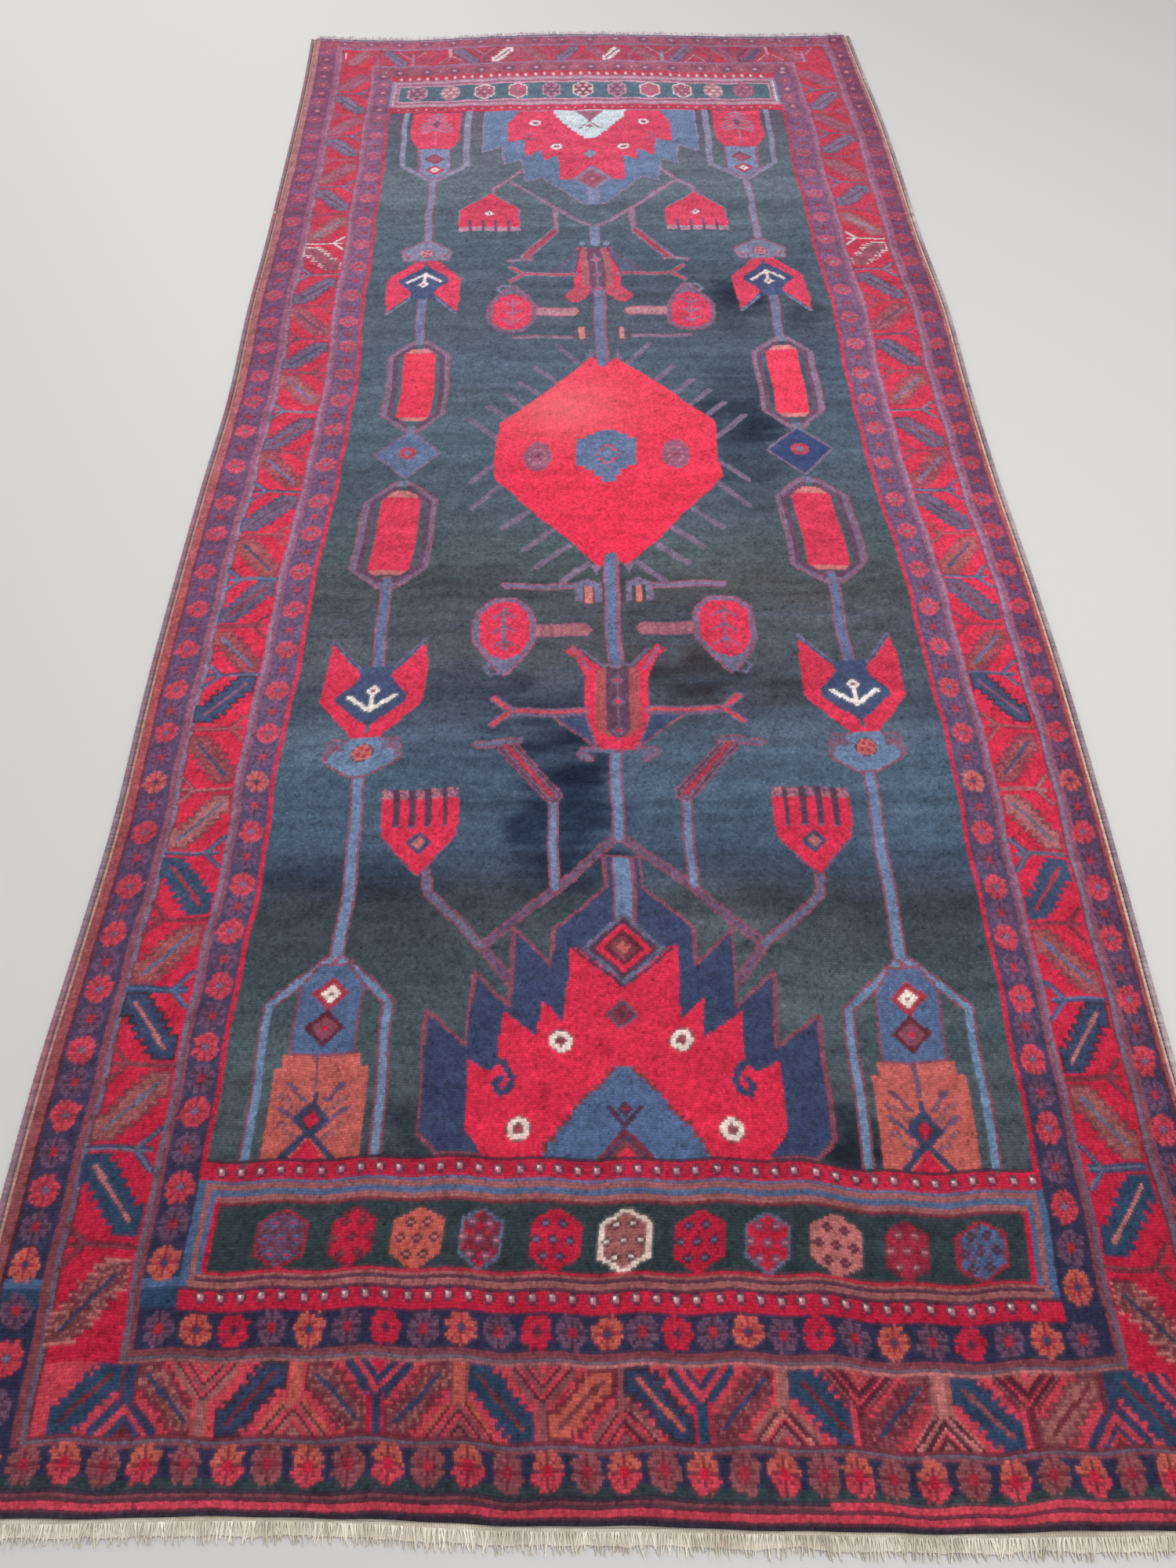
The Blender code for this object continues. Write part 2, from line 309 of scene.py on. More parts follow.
for k, row in enumerate(rosette_rows):
    kind = "mr"[k % 2] if row < 830 else "qp"[k % 2]
    kind = "o" if row in (69.5, 262) else kind
    for left, right in ((11, 430), (60, 380)):
        if left == 11 or 57 < row < 900:
            rosette(left, round(row), kind)
            rosette(right, round(row - early(row)), kind)
near_inner = np.interp(range(26), (0, 10, 16, 19, 25), (61, 190.6, 262.6, 299, 377))
near_outer = np.interp(range(34), (0, 10, 21, 23, 30, 33), (11, 142, 284, 306, 397.5, 431))
for row, columns, kinds, wide, tall in (
    (13, near_outer, "sd", 9.8, 10.6),
    (50, near_inner, "mocmomcmomcmomcmomcmomcmom", 10, 9.6),
    (ROWS - 55, np.arange(62, 382, 11.0), "pq", 9, 10),
    (ROWS - 9, np.arange(13, 430, 11.3), "pq", 9, 9),
):
    for k, column in enumerate(columns):
        rosette(round(column), row, kinds[k % len(kinds)], wide, tall)
# The guards' wool ran out in places and came from other lots: greener and bluer at the near end,
# redder at the far end.
for spot, old, new in (
    (np.s_[7:10, 5:-5], "guard", "panel"),
    (np.s_[57:66, 5:67], "guard", "teal"),
    (np.s_[63:66, 5:67], "teal", "azure"),
    (np.s_[ROWS - 61 : ROWS - 49, 54:-52], "guard", "madder"),
    (np.s_[ROWS - 17 : ROWS - 4, 5:-5], "guard", "madder"),
):
    chart[spot][chart[spot] == CODE[old]] = CODE[new]

# The main border. Serrated leaves lean by turns on a crimson ground, each around a straight rib of
# another dye, with a level forked twig between two of them.
LEAF = ((-41, 46), (-10, 46), (-13, 37), (-1, 38), (-5, 28), (7, 29), (3, 18), (15, 19), (11, 8))
LEAF += ((23, 9), (18, -3), (31, -2), (26, -14), (41, -12), (41, -46))
# The dye around each leaf and the flecks in it, by the dye of its body.
LEAF_EDGES = dict(zip("btsrydeklna", "dbbbdbneeje"))
FLECKS = {"b": "t", "t": "r", "r": "t", "d": "r"}


def window(points, margin=0.0):
    """The part of the chart around some points, and where its knots are."""
    xs, ys = [x for x, y in points], [y for x, y in points]
    columns = slice(*np.searchsorted(knot_x, (min(xs) - margin, max(xs) + margin)))
    rows = slice(*np.searchsorted(row_y, (min(ys) - margin, max(ys) + margin)))
    x, y = np.meshgrid(knot_x[columns], row_y[rows])
    return chart[rows, columns], x, y


def patch(dye, points, step=0.0, fleck=None):
    """Knots inside an outline. A step makes its slants climb in blocks of that size."""
    part, x, y = window(points, step)
    if step:
        x, y = (np.round(x / step) * step, np.round(y / step) * step)
    inside = np.zeros(x.shape, bool)
    for (x0, y0), (x1, y1) in zip(points, points[1:] + points[:1]):
        if y0 != y1:
            crossed = (y0 > y) != (y1 > y)
            inside ^= crossed & (x < x0 + (x1 - x0) * (y - y0) / (y1 - y0))
    part[inside] = CODE[dye]
    if fleck:
        part[inside & (np.sin(x * 12.99 + y * 78.23) * 43758.5 % 1 < 0.34)] = CODE[fleck]


def stroke(dye, width, points, beads=0):
    """Knots along a run of straight lines. Beads leaves every other few rows out."""
    part, x, y = window(points, width)
    near = np.zeros(x.shape, bool)
    for (x0, y0), (x1, y1) in zip(points, points[1:]):
        length = max((x1 - x0) ** 2 + (y1 - y0) ** 2, 1e-9)
        t = np.clip(((x - x0) * (x1 - x0) + (y - y0) * (y1 - y0)) / length, 0, 1)
        gap = np.hypot(x - x0 - t * (x1 - x0), y - y0 - t * (y1 - y0))
        near |= gap <= width / 2
    if beads:
        near &= (np.floor(y / beads).astype(int) % 2) == 0
    part[near] = CODE[dye]


def leaf(x, y, lean, body, rib, edge=None, size=1.0, tall=1.0):
    half = [(x - lean * px * size, y + py * size * tall) for px, py in LEAF]
    outline = half + [(2 * x - px, 2 * y - py) for px, py in half]
    patch(body, outline, fleck=FLECKS.get(body))
    rim = LEAF_EDGES.get(body, "d")
    stroke("plum" if y > 0 and rim in "enj" else rim, 3.2, outline + outline[:1])
    if edge:
        stroke(edge, 3.6, outline + outline[:1], beads=4)
    reach_x, reach_y = 27 * size * lean, 31 * size * tall
    stroke(rib, 5.2, [(x - reach_x, y - reach_y), (x + reach_x, y + reach_y)])


def set_at(points, at, side=1):
    """Points moved to a place (x, y and which way is up), and mirrored there if side is -1."""
    x, y, up = at
    return [(x + side * px, y + up * py) for px, py in points]


def twig(x, y, way, dye, edge):
    """A level stem with a three-pronged fork at one end."""
    for width, colour in ((8.0, edge), (4.4, dye)):
        for run in [(18, 0), (41, 25)], [(18, 0), (41, -25)], [(-41, 0), (36, 0)]:
            stroke(colour, width, set_at(run, (x, y, 1), way))


def level(y, side):
    """A place along the rug, which comes a little sooner on the right side."""
    return y - early((y - START_MM) / ROW_MM) * ROW_MM if side > 0 else y


SIDE_LEAVES = (
    # y, and the dyes of body, rib and edge
    (-1515, "bns"), (-1393, "es"), (-1283, "tl"), (-1175, "ns"), (-1070, "ra"), (-962, "ez"),
    (-852, "sl"), (-738, "bn"), (-620, "ny"), (-520, "ba"), (-405, "kd"), (-300, "te"),
    (-187, "kp"), (-72, "da"), (35, "kd"), (170, "ta"), (283, "kn"), (400, "dp"), (512, "kp"),
    (637, "bdw"), (757, "tl"), (880, "kp"), (1000, "dy"), (1128, "kp"), (1240, "yd"), (1360, "kp"),
    (1480, "yd"),
)
TWIG_DYES = "blbadlstldatadlbpdlwzkdkdk"
for side, middle in ((-1, -604), (1, 611)):
    for k, (y, dyes) in enumerate(SIDE_LEAVES):
        leaf(middle, level(y, side), side * (-1, 1)[k % 2], *dyes)
    for k, dye in enumerate(TWIG_DYES):
        y = (SIDE_LEAVES[k][0] + SIDE_LEAVES[k + 1][0]) / 2
        edge = ("navy" if level(y, side) < -400 else "plum") if dye in "laenk" else "madder"
        twig(middle, level(y, side), side * (1, -1)[k % 2], dye, edge)

# The end borders. They are packed closer than the sides: leaves stand between upright forks and
# nested chevrons, which are tied in bands of one knot.
NEAR_ROWS, FAR_ROWS = (21, 41), (ROWS - 44, ROWS - 19)


def forked(x, low, high, way, dyes, stem, reach=37):
    """A stem with two legs, and bands of one knot each that follow the legs inside them."""
    fork = low + (0.55 if way < 0 else 0.42) * (high - low)
    part, px, py = window([(x - reach, low), (x + reach, high)])
    slope = (high - fork if way > 0 else fork - low) / reach
    depth = (way * (py - fork) - np.abs(px - x) * slope) / math.hypot(slope, 1)
    band = np.floor((depth + 5) / 3.3).astype(int)
    for k, dye in enumerate(dyes):
        part[band == k] = CODE[dye]
    part[band >= len(dyes)] = CODE[dyes[-1]]
    behind = (depth < 0) & (np.abs(px - x) < stem / 2 + 4)
    part[behind] = CODE[dyes[-1] if dyes[-1] != dyes[0] else "madder"]
    part[(depth < 3) & (np.abs(px - x) < stem / 2)] = CODE[dyes[0]]


NEAR_END = (
    # x, what, dyes: of a leaf and its rib, or of a fork's bands from the outside in
    (-588, "/", "ed"), (-543, "^", "nnnccnnd"), (-499, "\\", "bn"), (-460, "Y", "ttmcrmctc"),
    (-407, "/", "nd"), (-358, "^", "omtcmtcbtc"), (-311, "\\", "bn"), (-268, "Y", "nnnccnncx"),
    (-223, "/", "bn"), (-177, "^", "omcrmcrmr"), (-131, "\\", "eb"), (-86, "Y", "rrmcrmcrc"),
    (-44, "/", "ob"), (3, "^", "rtmcrmcdr"), (42, "\\", "no"), (88, "Y", "eeeccnncx"),
    (135, "/", "dn"), (177, "^", "trmscmtrc"), (222, "\\", "ed"), (261, "Y", "drmcdmcrc"),
    (302, "/", "dn"), (350, "^", "smstmscmt"), (399, "\\", "er"), (445, "Y", "drmcdmctc"),
    (489, "/", "td"), (537, "^", "nnnccnncd"), (579, "\\", "ed"), (622, "Y", "nnnccnx"),
)
FAR_END = (
    (-595, "/", "ty"), (-545, "Y", "yzzdz"), (-497, "\\", "kp"), (-450, "Y", "uzzpz"),
    (-405, "/", "zd"), (-349, "^", "izzyz"), (-307, "\\", "kp"), (-258, "Y", "pzzuz"),
    (-210, "/", "wp"), (-170, "^", "yzzyz"), (-128, "\\", "by"), (-85, "Y", "dzzyz"),
    (-35, "/", "kp"), (2, "^", "xzzdz"), (45, "\\", "yd"), (85, "/", "wp"), (128, "Y", "yzzdz"),
    (168, "\\", "by"), (216, "Y", "lzzpz"), (266, "/", "kp"), (303, "^", "yzziz"),
    (345, "Y", "pzzyz"), (385, "\\", "yd"), (420, "Y", "nzzpz"), (460, "/", "pn"),
    (503, "^", "izzyz"), (553, "\\", "yd"), (592, "Y", "lxxyx"),
)
for band, pieces, ground, slim, plain in (
    (NEAR_ROWS, NEAR_END, "coral", 1.0, ()),
    (FAR_ROWS, FAR_END, "red", 0.5, ((26, 50), (70, 112), (205, 232), (305, 345), (400, 417))),
):
    low, high = row_y[band[0]] - 2, row_y[band[1] - 1] + 2
    chart[slice(*band), 25:-20] = CODE[ground]
    for first, last in plain:
        chart[slice(*band), first:last] = CODE["crimson"]
    for x, what, dyes in pieces:
        if what in "/\\":
            lean, size = 1 if what == "/" else -1, 0.66 + 0.22 * slim
            leaf(x, (low + high) / 2, lean, *dyes, None, size, (high - low) / 94 / size)
        else:
            forked(x, low, high, -1 if what == "^" else 1, dyes, 5 + 7 * slim)
for knot, first, last, dye in (
    (27, 926, 936, "cream"), (83, 922, 934, "slate"), (286, 922, 934, "slate"),
    (400, 922, 934, "slate"), (67, 850, 891, "sky"), (370, 856, 888, "ice"), (371, 858, 886, "sky"),
):
    chart[first:last, knot] = CODE[dye]

# Panel flowers. On each panel's dark ground stand eleven pointed rounds, outlined in another dye
# and full of small blossoms.
CARTOUCHE = ((3, 1.0), (7, 0.92), (14, 0.8), (22, 0.68), (28, 0.56), (28, -0.5), (22, -0.62))
CARTOUCHE += ((14, -0.76), (7, -0.9), (3, -1.0))
BLOSSOM = (".oo.", "ohho", ".oo.")
BLOSSOMS = ((0, 0), (-6, 0), (6, 0), (-3, 5), (3, 5), (-3, -5), (3, -5))
# The drawing's middle line lies a little right of the rug's. A place is its x, its y and which way
# is up there, 1 towards the far end or -1.
AXIS = 6.0
MIDDLE = (AXIS, 0, 1)


def whole(half, at=MIDDLE):
    """A full outline from its right half, which is listed from end to end."""
    return set_at(half, at) + set_at(half[::-1], at, -1)


def cartouche(knot, row, wide, half, body, edge, petal, heart):
    at = ((knot - KNOTS / 2) * KNOT_MM, row_y[row], 1)
    outline = whole([(px * wide, share * half) for px, share in CARTOUCHE], at)
    patch(body, outline, fleck={"u": "d", "a": "u", "d": "x"}.get(body))
    stroke(edge, 6.0 if edge == "w" and row < 100 else 4.0, outline + outline[:1])
    dyes = {sign: dye for sign, dye in (("o", petal), ("h", heart)) if dye != body}
    for i, j in BLOSSOMS:
        knit(BLOSSOM, int(knot) + i, row + j, dyes)
    if edge in "wm" and petal in "wu":
        knit((".cc.", "cccc", ".cc."), int(knot), row, {"c": "cream"})


NEAR_PANEL = (
    # knot, width, and the dyes of body, edge, petals and hearts
    (100.0, 1.02, "uzax"), (125.0, 0.86, "xddy"), (148.0, 0.98, "ooms"), (170.5, 0.86, "dlui"),
    (196.7, 0.98, "xxpl"), (221.5, 1.0, "twmw"), (247.8, 0.98, "xxpl"), (272.0, 0.86, "xlui"),
    (296.4, 0.98, "ssmy"), (321.2, 0.9, "zdyi"), (347.6, 1.02, "azpu"),
)
FAR_PANEL = (
    (88.0, 0.82, "piip"), (114.0, 0.78, "rswr"), (141.0, 0.86, "ywdw"), (167.5, 0.86, "fwdi"),
    (194.0, 0.8, "piip"), (219.0, 0.9, "mwwd"), (246.0, 0.8, "piip"), (272.0, 0.86, "fwdi"),
    (297.5, 0.86, "ywdw"), (322.0, 0.78, "rswr"), (346.0, 0.86, "yyyi"),
)
for panel, row, half in ((NEAR_PANEL, 77, 33), (FAR_PANEL, 871, 37)):
    for knot, wide, dyes in panel:
        cartouche(knot, row, wide, half, *dyes)

# Branches. They are tied in thin lines of two dyes, leave the middle stem near both ends of the
# field, and carry a comb with five fingers on each side.
FIELD_LOW, FIELD_HIGH = row_y[NEAR_BORDER] - 1.8, row_y[ROWS - FAR_BORDER - 1] + 3


def lozenge(x, y, *layers):
    """Diamonds one inside the other: (half width, half height, dye), largest first."""
    for half_x, half_y, dye in layers:
        patch(dye, [(x + half_x, y), (x, y + half_y), (x - half_x, y), (x, y - half_y)])


def sides(points, at=MIDDLE):
    """The same run of points on the right and on the left of an upright line."""
    return [set_at(points, at, side) for side in (1, -1)]


def edged(dye, edge, width, points, line=4.0):
    """A stroke with a thin line of another dye on both sides."""
    stroke(edge, width + 2 * line, points)
    stroke(dye, width, points)


def pair(dye, width, points, edge=None, line=3.0, at=MIDDLE):
    """The same stroke on the right and on the left, edged or not."""
    for run in sides(points, at):
        edged(dye, edge or dye, width, run, line if edge else 0)


def outlined(dye, edge, points, width=4.5, step=0.0):
    patch(dye, points, step)
    stroke(edge, width, points + points[:1])


def comb(x, ends, up, half, fingers, palm, tip, wide):
    """A comb: five fingers, their ends paler, on a palm that narrows to the stem."""
    at = (x, ends, up)
    outlined("cherry", "mauve", whole([(half, fingers), (half, palm), (4, tip)], at), 3)
    patch("plum", whole([(half, fingers), (half, 0)], at))
    for k in range(-2, 3):
        finger = (x + k * (half - wide) / 2, ends, up)
        patch("cherry", whole([(wide, 0), (wide, fingers + 4)], finger))
        patch("pink", whole([(wide, 0), (wide, 18)], finger), fleck="mauve")


joint, leg = (190, -1063), [(97, -812), (166, -722)]
pair("mauve", 9, [(0, -884), joint, (150, -1114)], "rose")
pair("slate", 9, [joint, (272, -980), (276, -945)], "rose")
pair("sky", 9, [(97, -972), (97, -815)], "rose")
pair("plum", 24, leg, "rose")
pair("slate", 17, leg)
pair("red", 6, leg, "madder")
pair("slate", 9, [(150, -712), (212, -717)], "rose")
joint, leg = (202, 961), [(92, 742), (160, 634)]
pair("mauve", 8, [(0, 760), (40, 784), (91, 840), joint, (166, 1013)], "rose", 2)
pair("mauve", 8, [joint, (236, 925), (237, 890)], "rose", 2)
pair("mauve", 9, [(87, 838), (89, 745)], "rose")
pair("rose", 17, leg, "mauve")
pair("red", 7, leg)
pair("slate", 6, [(150, 624), (198, 622)], "rose")
for side in (-1, 1):
    x = side * 282
    comb(x, -800, -1, 55, 66, 84, 148, 7.5)
    lozenge(x, -895, (19, 20, "navy"), (11, 12, "salmon"), (5, 5, "orange"))
    x = 3 + side * 238
    comb(x, 740, 1, 70, 46, 92, 160, 11.5)
    lozenge(x, 816, (15, 15, "madder"), (11, 12, "cream"), (4, 5, "brown"))


# Palmettes. Half of a great stepped flower stands at each end of the field, cut off by the panel:
# a red heart on a blue cloth, with round blossoms, a hill or a fan at its root, and diamonds.
def disc(x, y, *layers):
    """Rounds one inside the other: (radius, dye), largest first."""
    for radius, dye in layers:
        part, px, py = window([(x - radius, y - radius), (x + radius, y + radius)])
        part[np.hypot(px - x, py - y) <= radius] = CODE[dye]


def ring_flowers(*places):
    """White rings with a red eye, on both sides."""
    for x, y in places:
        for middle in (AXIS + x, AXIS - x):
            disc(middle, y, (16, "brown"), (14.5, "cream"), (7, "brown"), (2.5, "flame"))


cloth = [(26, -920), (26, -972), (95, -1037), (96, -1094), (147, -1036), (147, -1152), (197, -1103)]
cloth += [(198, -1210), (253, -1158), (254, -1322), (229, FIELD_LOW)]
outlined("navy", "rose", whole(cloth), 5)
heart = [(0, -1119), (62, -1064), (72, -1064), (75, -1172), (105, -1143), (107, -1196), (155, -1157)]
heart += [(156, -1228), (168, -1242), (198, -1227), (198, -1318), (172, FIELD_LOW)]
patch("cherry", whole(heart))
hook = [(164, -1222), (150, -1232), (140, -1250), (144, -1266), (156, -1270), (162, -1258)]
pair("navy", 9, hook + [(154, -1250)])
hill = [(8, -1236), (34, -1262), (58, -1290), (74, -1310), (88, -1330), (101, FIELD_LOW)]
patch("brown", whole([(x + 4, y + 2) for x, y in hill]), 7)
patch("azure", whole(hill), 7)
pair("plum", 6, [(20, -1288), (0, -1314)])
lozenge(AXIS, -1292, (10, 10, "plum"), (4, 4, "red"))
for half, dye in ((36, "madder"), (27, "navy"), (22, "brown"), (12, "cherry")):
    patch(dye, whole([(0, FIELD_LOW + half), (half, FIELD_LOW)]))
lozenge(AXIS, -1164, (21, 22, "mauve"), (15, 15, "madder"), (6, 6, "plum"))
patch("sky", whole([(12, -924), (12, -1035)]))
pair("rose", 4, [(14, -924), (14, -1030)])
layers = (56, 56, "slate"), (47, 47, "plum"), (38, 38, "cherry"), (28, 28, "maroon")
lozenge(AXIS, -1066, *layers, (20, 20, "brown"), (10, 10, "orange"))
pair("plum", 4, [(0, -1124), (66, -1066)])
ring_flowers((77, -1199), (131, -1317))

cloth = [(264, FIELD_HIGH), (264, 1098), (215, 1130), (212, 1040), (171, 1057), (159, 957), (120, 975)]
outlined("azure", "mauve", whole(cloth + [(26, 857)]), 4)
heart = [(178, FIELD_HIGH), (202, 1245), (202, 1147), (161, 1165), (158, 1074), (118, 1112)]
patch("cherry", whole(heart + [(114, 1058), (80, 1081), (79, 963), (52, 963), (0, 1032)]))
pair("rose", 6, [(138, 1200), (152, 1192), (158, 1172), (146, 1160), (136, 1172)])
patch("ice", whole([(92, FIELD_HIGH), (86, 1285), (60, 1240), (36, 1200), (12, 1165)]), 7.4)
patch("rose", whole([(36, FIELD_HIGH), (0, 1254)]))
pair("madder", 3.6, [(0, 1256), (24, 1220)])
lozenge(AXIS, 1230, (11, 11, "madder"), (4, 4, "pink"))
patch("sky", whole([(11, 932), (11, 857)]))
pair("mauve", 4, [(13, 932), (13, 857)])
lozenge(AXIS, 970, (48, 56, "mauve"), (36, 43, "rose"), (22, 28, "madder"), (6, 6, "pink"))
lozenge(AXIS, 1089, (20, 26, "rose"), (15, 20, "slate"))
ring_flowers((135, 1250), (82, 1125))

# The medallion. A long scarlet hexagon with rays off its slants, a stepped blue middle with a
# ring of beads around a small diamond, and a rose round on each side.
rays = [(212, -60), (258, -108)], [(203, -121), (251, -179)], [(150, -191), (196, -236)]
rays += [(107, -238), (156, -288)], [(78, -279), (129, -328)], [(42, -323), (87, -368)]
rays += [(212, 10), (270, 76)], [(52, 252), (97, 310)], [(101, 186), (140, 233)]
rays += [(129, 141), (174, 187)], [(166, 107), (204, 149)], [(200, 77), (234, 112)]
for ray in rays:
    pair("smoke", 12, ray)
for y, reach in ((-322, -28), (262, 32)):
    for points in sides([(18, y), (38, y), (28, y + reach)]):
        patch("smoke", points)
patch("scarlet", whole([(0, 242), (26, 269), (211, 55), (213, -103), (24, -329), (0, -306)]))
steps = [(14, 38), (14, 32), (25, 32), (25, 25), (41, 25), (41, 17), (57, 17), (57, -62), (41, -62)]
patch("azure", whole(steps + [(41, -76), (25, -76), (25, -92), (14, -92), (14, -112)]))
for half_x, half_y, dye, beads in ((22, 33, "scarlet", 6), (6, 9, "sky", 0)):
    run = set_at([(half_x, 0), (0, half_y), (-half_x, 0), (0, -half_y)], (AXIS + 2, -34, 1))
    stroke(dye, 6, run + run[:1], beads)
for side in (-1, 1):
    x, y = AXIS + side * 132, -37
    patch("rose", [(x + 28 * math.cos(a), y + 42 * math.sin(a)) for a in np.arange(0, 6.2, 0.5)])
    for k in range(8):
        turn = (k + 0.5) * math.pi / 4
        disc(x + 15 * math.cos(turn), y + 20 * math.sin(turn), (3.2, "pink"))
    disc(x, y, (5, "madder"))


# The middle stem. It joins the palmettes and the medallion, with an open tulip below and above
# it and a red oval flower on a handle on each side.
def middle_tulip(foot, lip, beads, arm, up, x):
    """A tulip of red and rust strips on a dark throat, from foot to lip, open towards lip."""
    near, at = up > 0, (x, 0, 1)
    body, shoulder = lip - up * 12, 24 if near else 38
    for reach, dye in ((50, "cherry"), (34, "rust" if near else "tan"), (18, "plum")):
        low = foot + (24 if near and reach < 50 else 0)
        patch(dye, whole([(reach, body), (reach, foot + up * 42), (shoulder * reach / 50, low)], at))
    if near:
        lobe = [(28, body), (49, body - 26), (64, lip + 6), (82, lip + 22), (68, lip + 34)]
        for points in sides(lobe + [(48, lip + 8)], at):
            patch("cherry", points)
        pair("slate", 4, [(44, body - 6), (70, lip + 28)], at=at)
        pair("mauve", 6, [(8, lip), (20, lip - 12), (54, lip + 24)], at=at)
    else:
        lobe = [(17, 24), (49, 24), (72, -9), (65, -23), (50, -32), (37, -23), (21, -1)]
        for points in sides(lobe, (x, lip, 1)):
            outlined("coral", "cherry", points, 3.4)
        pair("mauve", 4, [(3, lip - 8), (18, lip + 16)], at=at)
    stroke("mauve", 4, [(x, foot + up * 20), (x, lip)])
    for y in beads:
        lozenge(x, y, (12, 13, "mauve"), (5, 6, "cherry"))
    for points in sides([(50, arm - up * 8), (101, arm - up * 8), (30, foot)], at):
        outlined("navy" if near else "teal", "rose" if near else "plum", points, 4)
    pair("coral", 8, [(50, arm), (165, arm)], "mauve", 4, at)
    for tip in (28, -24):
        pair("coral", 8, [(163, arm), (190, arm + tip)], "mauve", 3, at)


def round_flower(x, y, side, up):
    """A red oval with a veined leaf in it, a slate rim with a curled tail, and a level handle."""
    at, bar = (x, y, up), y - up * 2
    rim = [(0, 70), (24, 66), (46, 42), (50, 20), (50, -25), (36, -52), (8, -96), (0, -100)]
    heart = [(0, 62), (21, 58), (39, 38), (41, 18), (41, -24), (24, -56), (0, -68)]
    edged("salmon", "rose", 24, [(x - side * 48, bar), (x - side * 128, bar)], 3)
    for px in (62, 78, 94, 110):
        stroke("rose" if up > 0 else "pink", 5, [(x - side * px, bar - 11), (x - side * px, bar + 11)])
    outlined("slate" if up > 0 else "dusk", "rose", whole(rim, at), 4)
    stroke("slate", 6, set_at([(4, -96), (22, -98), (32, -84), (24, -74)], at, side))
    patch("cherry", whole(heart, at))
    stroke("slate", 5, [(x, y + 46), (x, y - 46)])
    for rib in (40, 8, -24):
        pair("mauve", 4, [(0, rib), (19, rib - 16)], at=at)


for low, high, dye, width in ((-887, -727, "sky", 11), (-552, -306, "azure", 17), (248, 495, "azure", 17)):
    edged(dye, "rose", width, [(AXIS - 3, low), (AXIS - 3, high)], 3.5)
edged("sky", "mauve", 16, [(AXIS, 690), (AXIS, 757)], 3.5)
pair("slate", 7, [(0, -730), (52, -730), (56, -738), (42, -748)], "rose")
middle_tulip(-727, -548, (-587, -632, -690), -653, 1, AXIS - 2)
middle_tulip(672, 495, (625, 567, 513), 567, -1, AXIS - 4)
for x in (-27, 27):
    disc(AXIS - 2 + x, 688, (8, "slate"))
for side in (-1, 1):
    round_flower(AXIS + side * 180, -477, side, 1)
    round_flower(AXIS + side * 189, 427, side, -1)
    at = (AXIS + side * 42, 0, 1)
    outlined("slate", "mauve", whole([(0, -362), (21, -370), (21, -410)], at), 4)
    patch("field", whole([(11, -378), (11, -412)], at))
    patch("orange", whole([(6, -377), (6, -417)], at))
    pair("plum", 4, [(0, 322), (14, 330), (12, 366)], at=at)
    patch("orange", whole([(6, 333), (6, 373)], at))
pair("slate", 7, [(66, -377), (182, -377)], "rose")
pair("mauve", 7, [(66, 338), (182, 338)], "rose")


# Side chains. In each half of the field one stem carries a vase, tulips, horned flowers, two long
# boxes and a diamond, the same from both ends towards the middle.
def side_tulip(x, y, up):
    """A flower of two red lobes on a navy body with a small white anchor."""
    at = (x, y, up)
    for points in sides([(0, 0), (22, 0), (80, 72), (80, 140), (73, 202), (28, 140)], at):
        patch("cherry", points)
    pair("slate", 8, [(73, 200), (30, 142)], at=at)
    pair("navy", 3.6, [(70, 194), (26, 134)], at=at)
    patch("navy", whole([(0, 18), (54, 72), (54, 84), (34, 106), (25, 122), (25, 144)], at))
    pair("cream", 7.5, [(0, 52), (35, 82)], at=at)
    stroke("cream", 6.0, [(x, y + up * 52), (x, y + up * 90)])
    lozenge(x, y + up * 92, (12, 12, "cream"), (5, 5, "brown"))


def horned_flower(x, y, up):
    at, middle = (x, y, up), y - up * 30
    cup = whole([(22, 0), (57, -36), (52, -48), (12, -76)], at)
    outlined("sky" if up > 0 else "slate", "rose", cup, 4)
    pair("slate", 6, [(54, -38), (48, -8), (34, -8), (33, -22)], "rose", 2.5, at)
    disc(x, middle, (17, "plum"), (15, "orange" if up > 0 else "pink"))
    for turn in range(4):
        angle = turn * math.pi / 2 + 0.4
        disc(x + 8 * math.cos(angle), middle + 8 * math.sin(angle), (4, "red"))


def long_box(x, low, high, red, half):
    """An eight-sided loop of mauve and plum around a red box with a dull orange strip at each end."""
    at = (x, 0, 1)
    for out, tail, width, dye, edge in (
        (half + 23, 36, 8, "mauve", "rose"),
        (half + 14, 24, 4, "plum", "plum"),
    ):
        loop = [(12, low + 4 - tail), (out, low + 14), (out, high - 14), (12, high + tail)]
        pair(dye, width, loop, edge, at=at)
    for y in (low - 32, high + 36):
        patch("slate", whole([(8, y - 9), (8, y + 9)], at))
    patch(red, whole([(12, high + 16), (half, high - 12), (half, low + 12), (22, low - 6)], at))
    patch("orange", whole([(12, high + 16), (30, high), (30, high - 1)], at))
    patch("orange", whole([(half - 5, low + 5), (22, low - 6)], at))


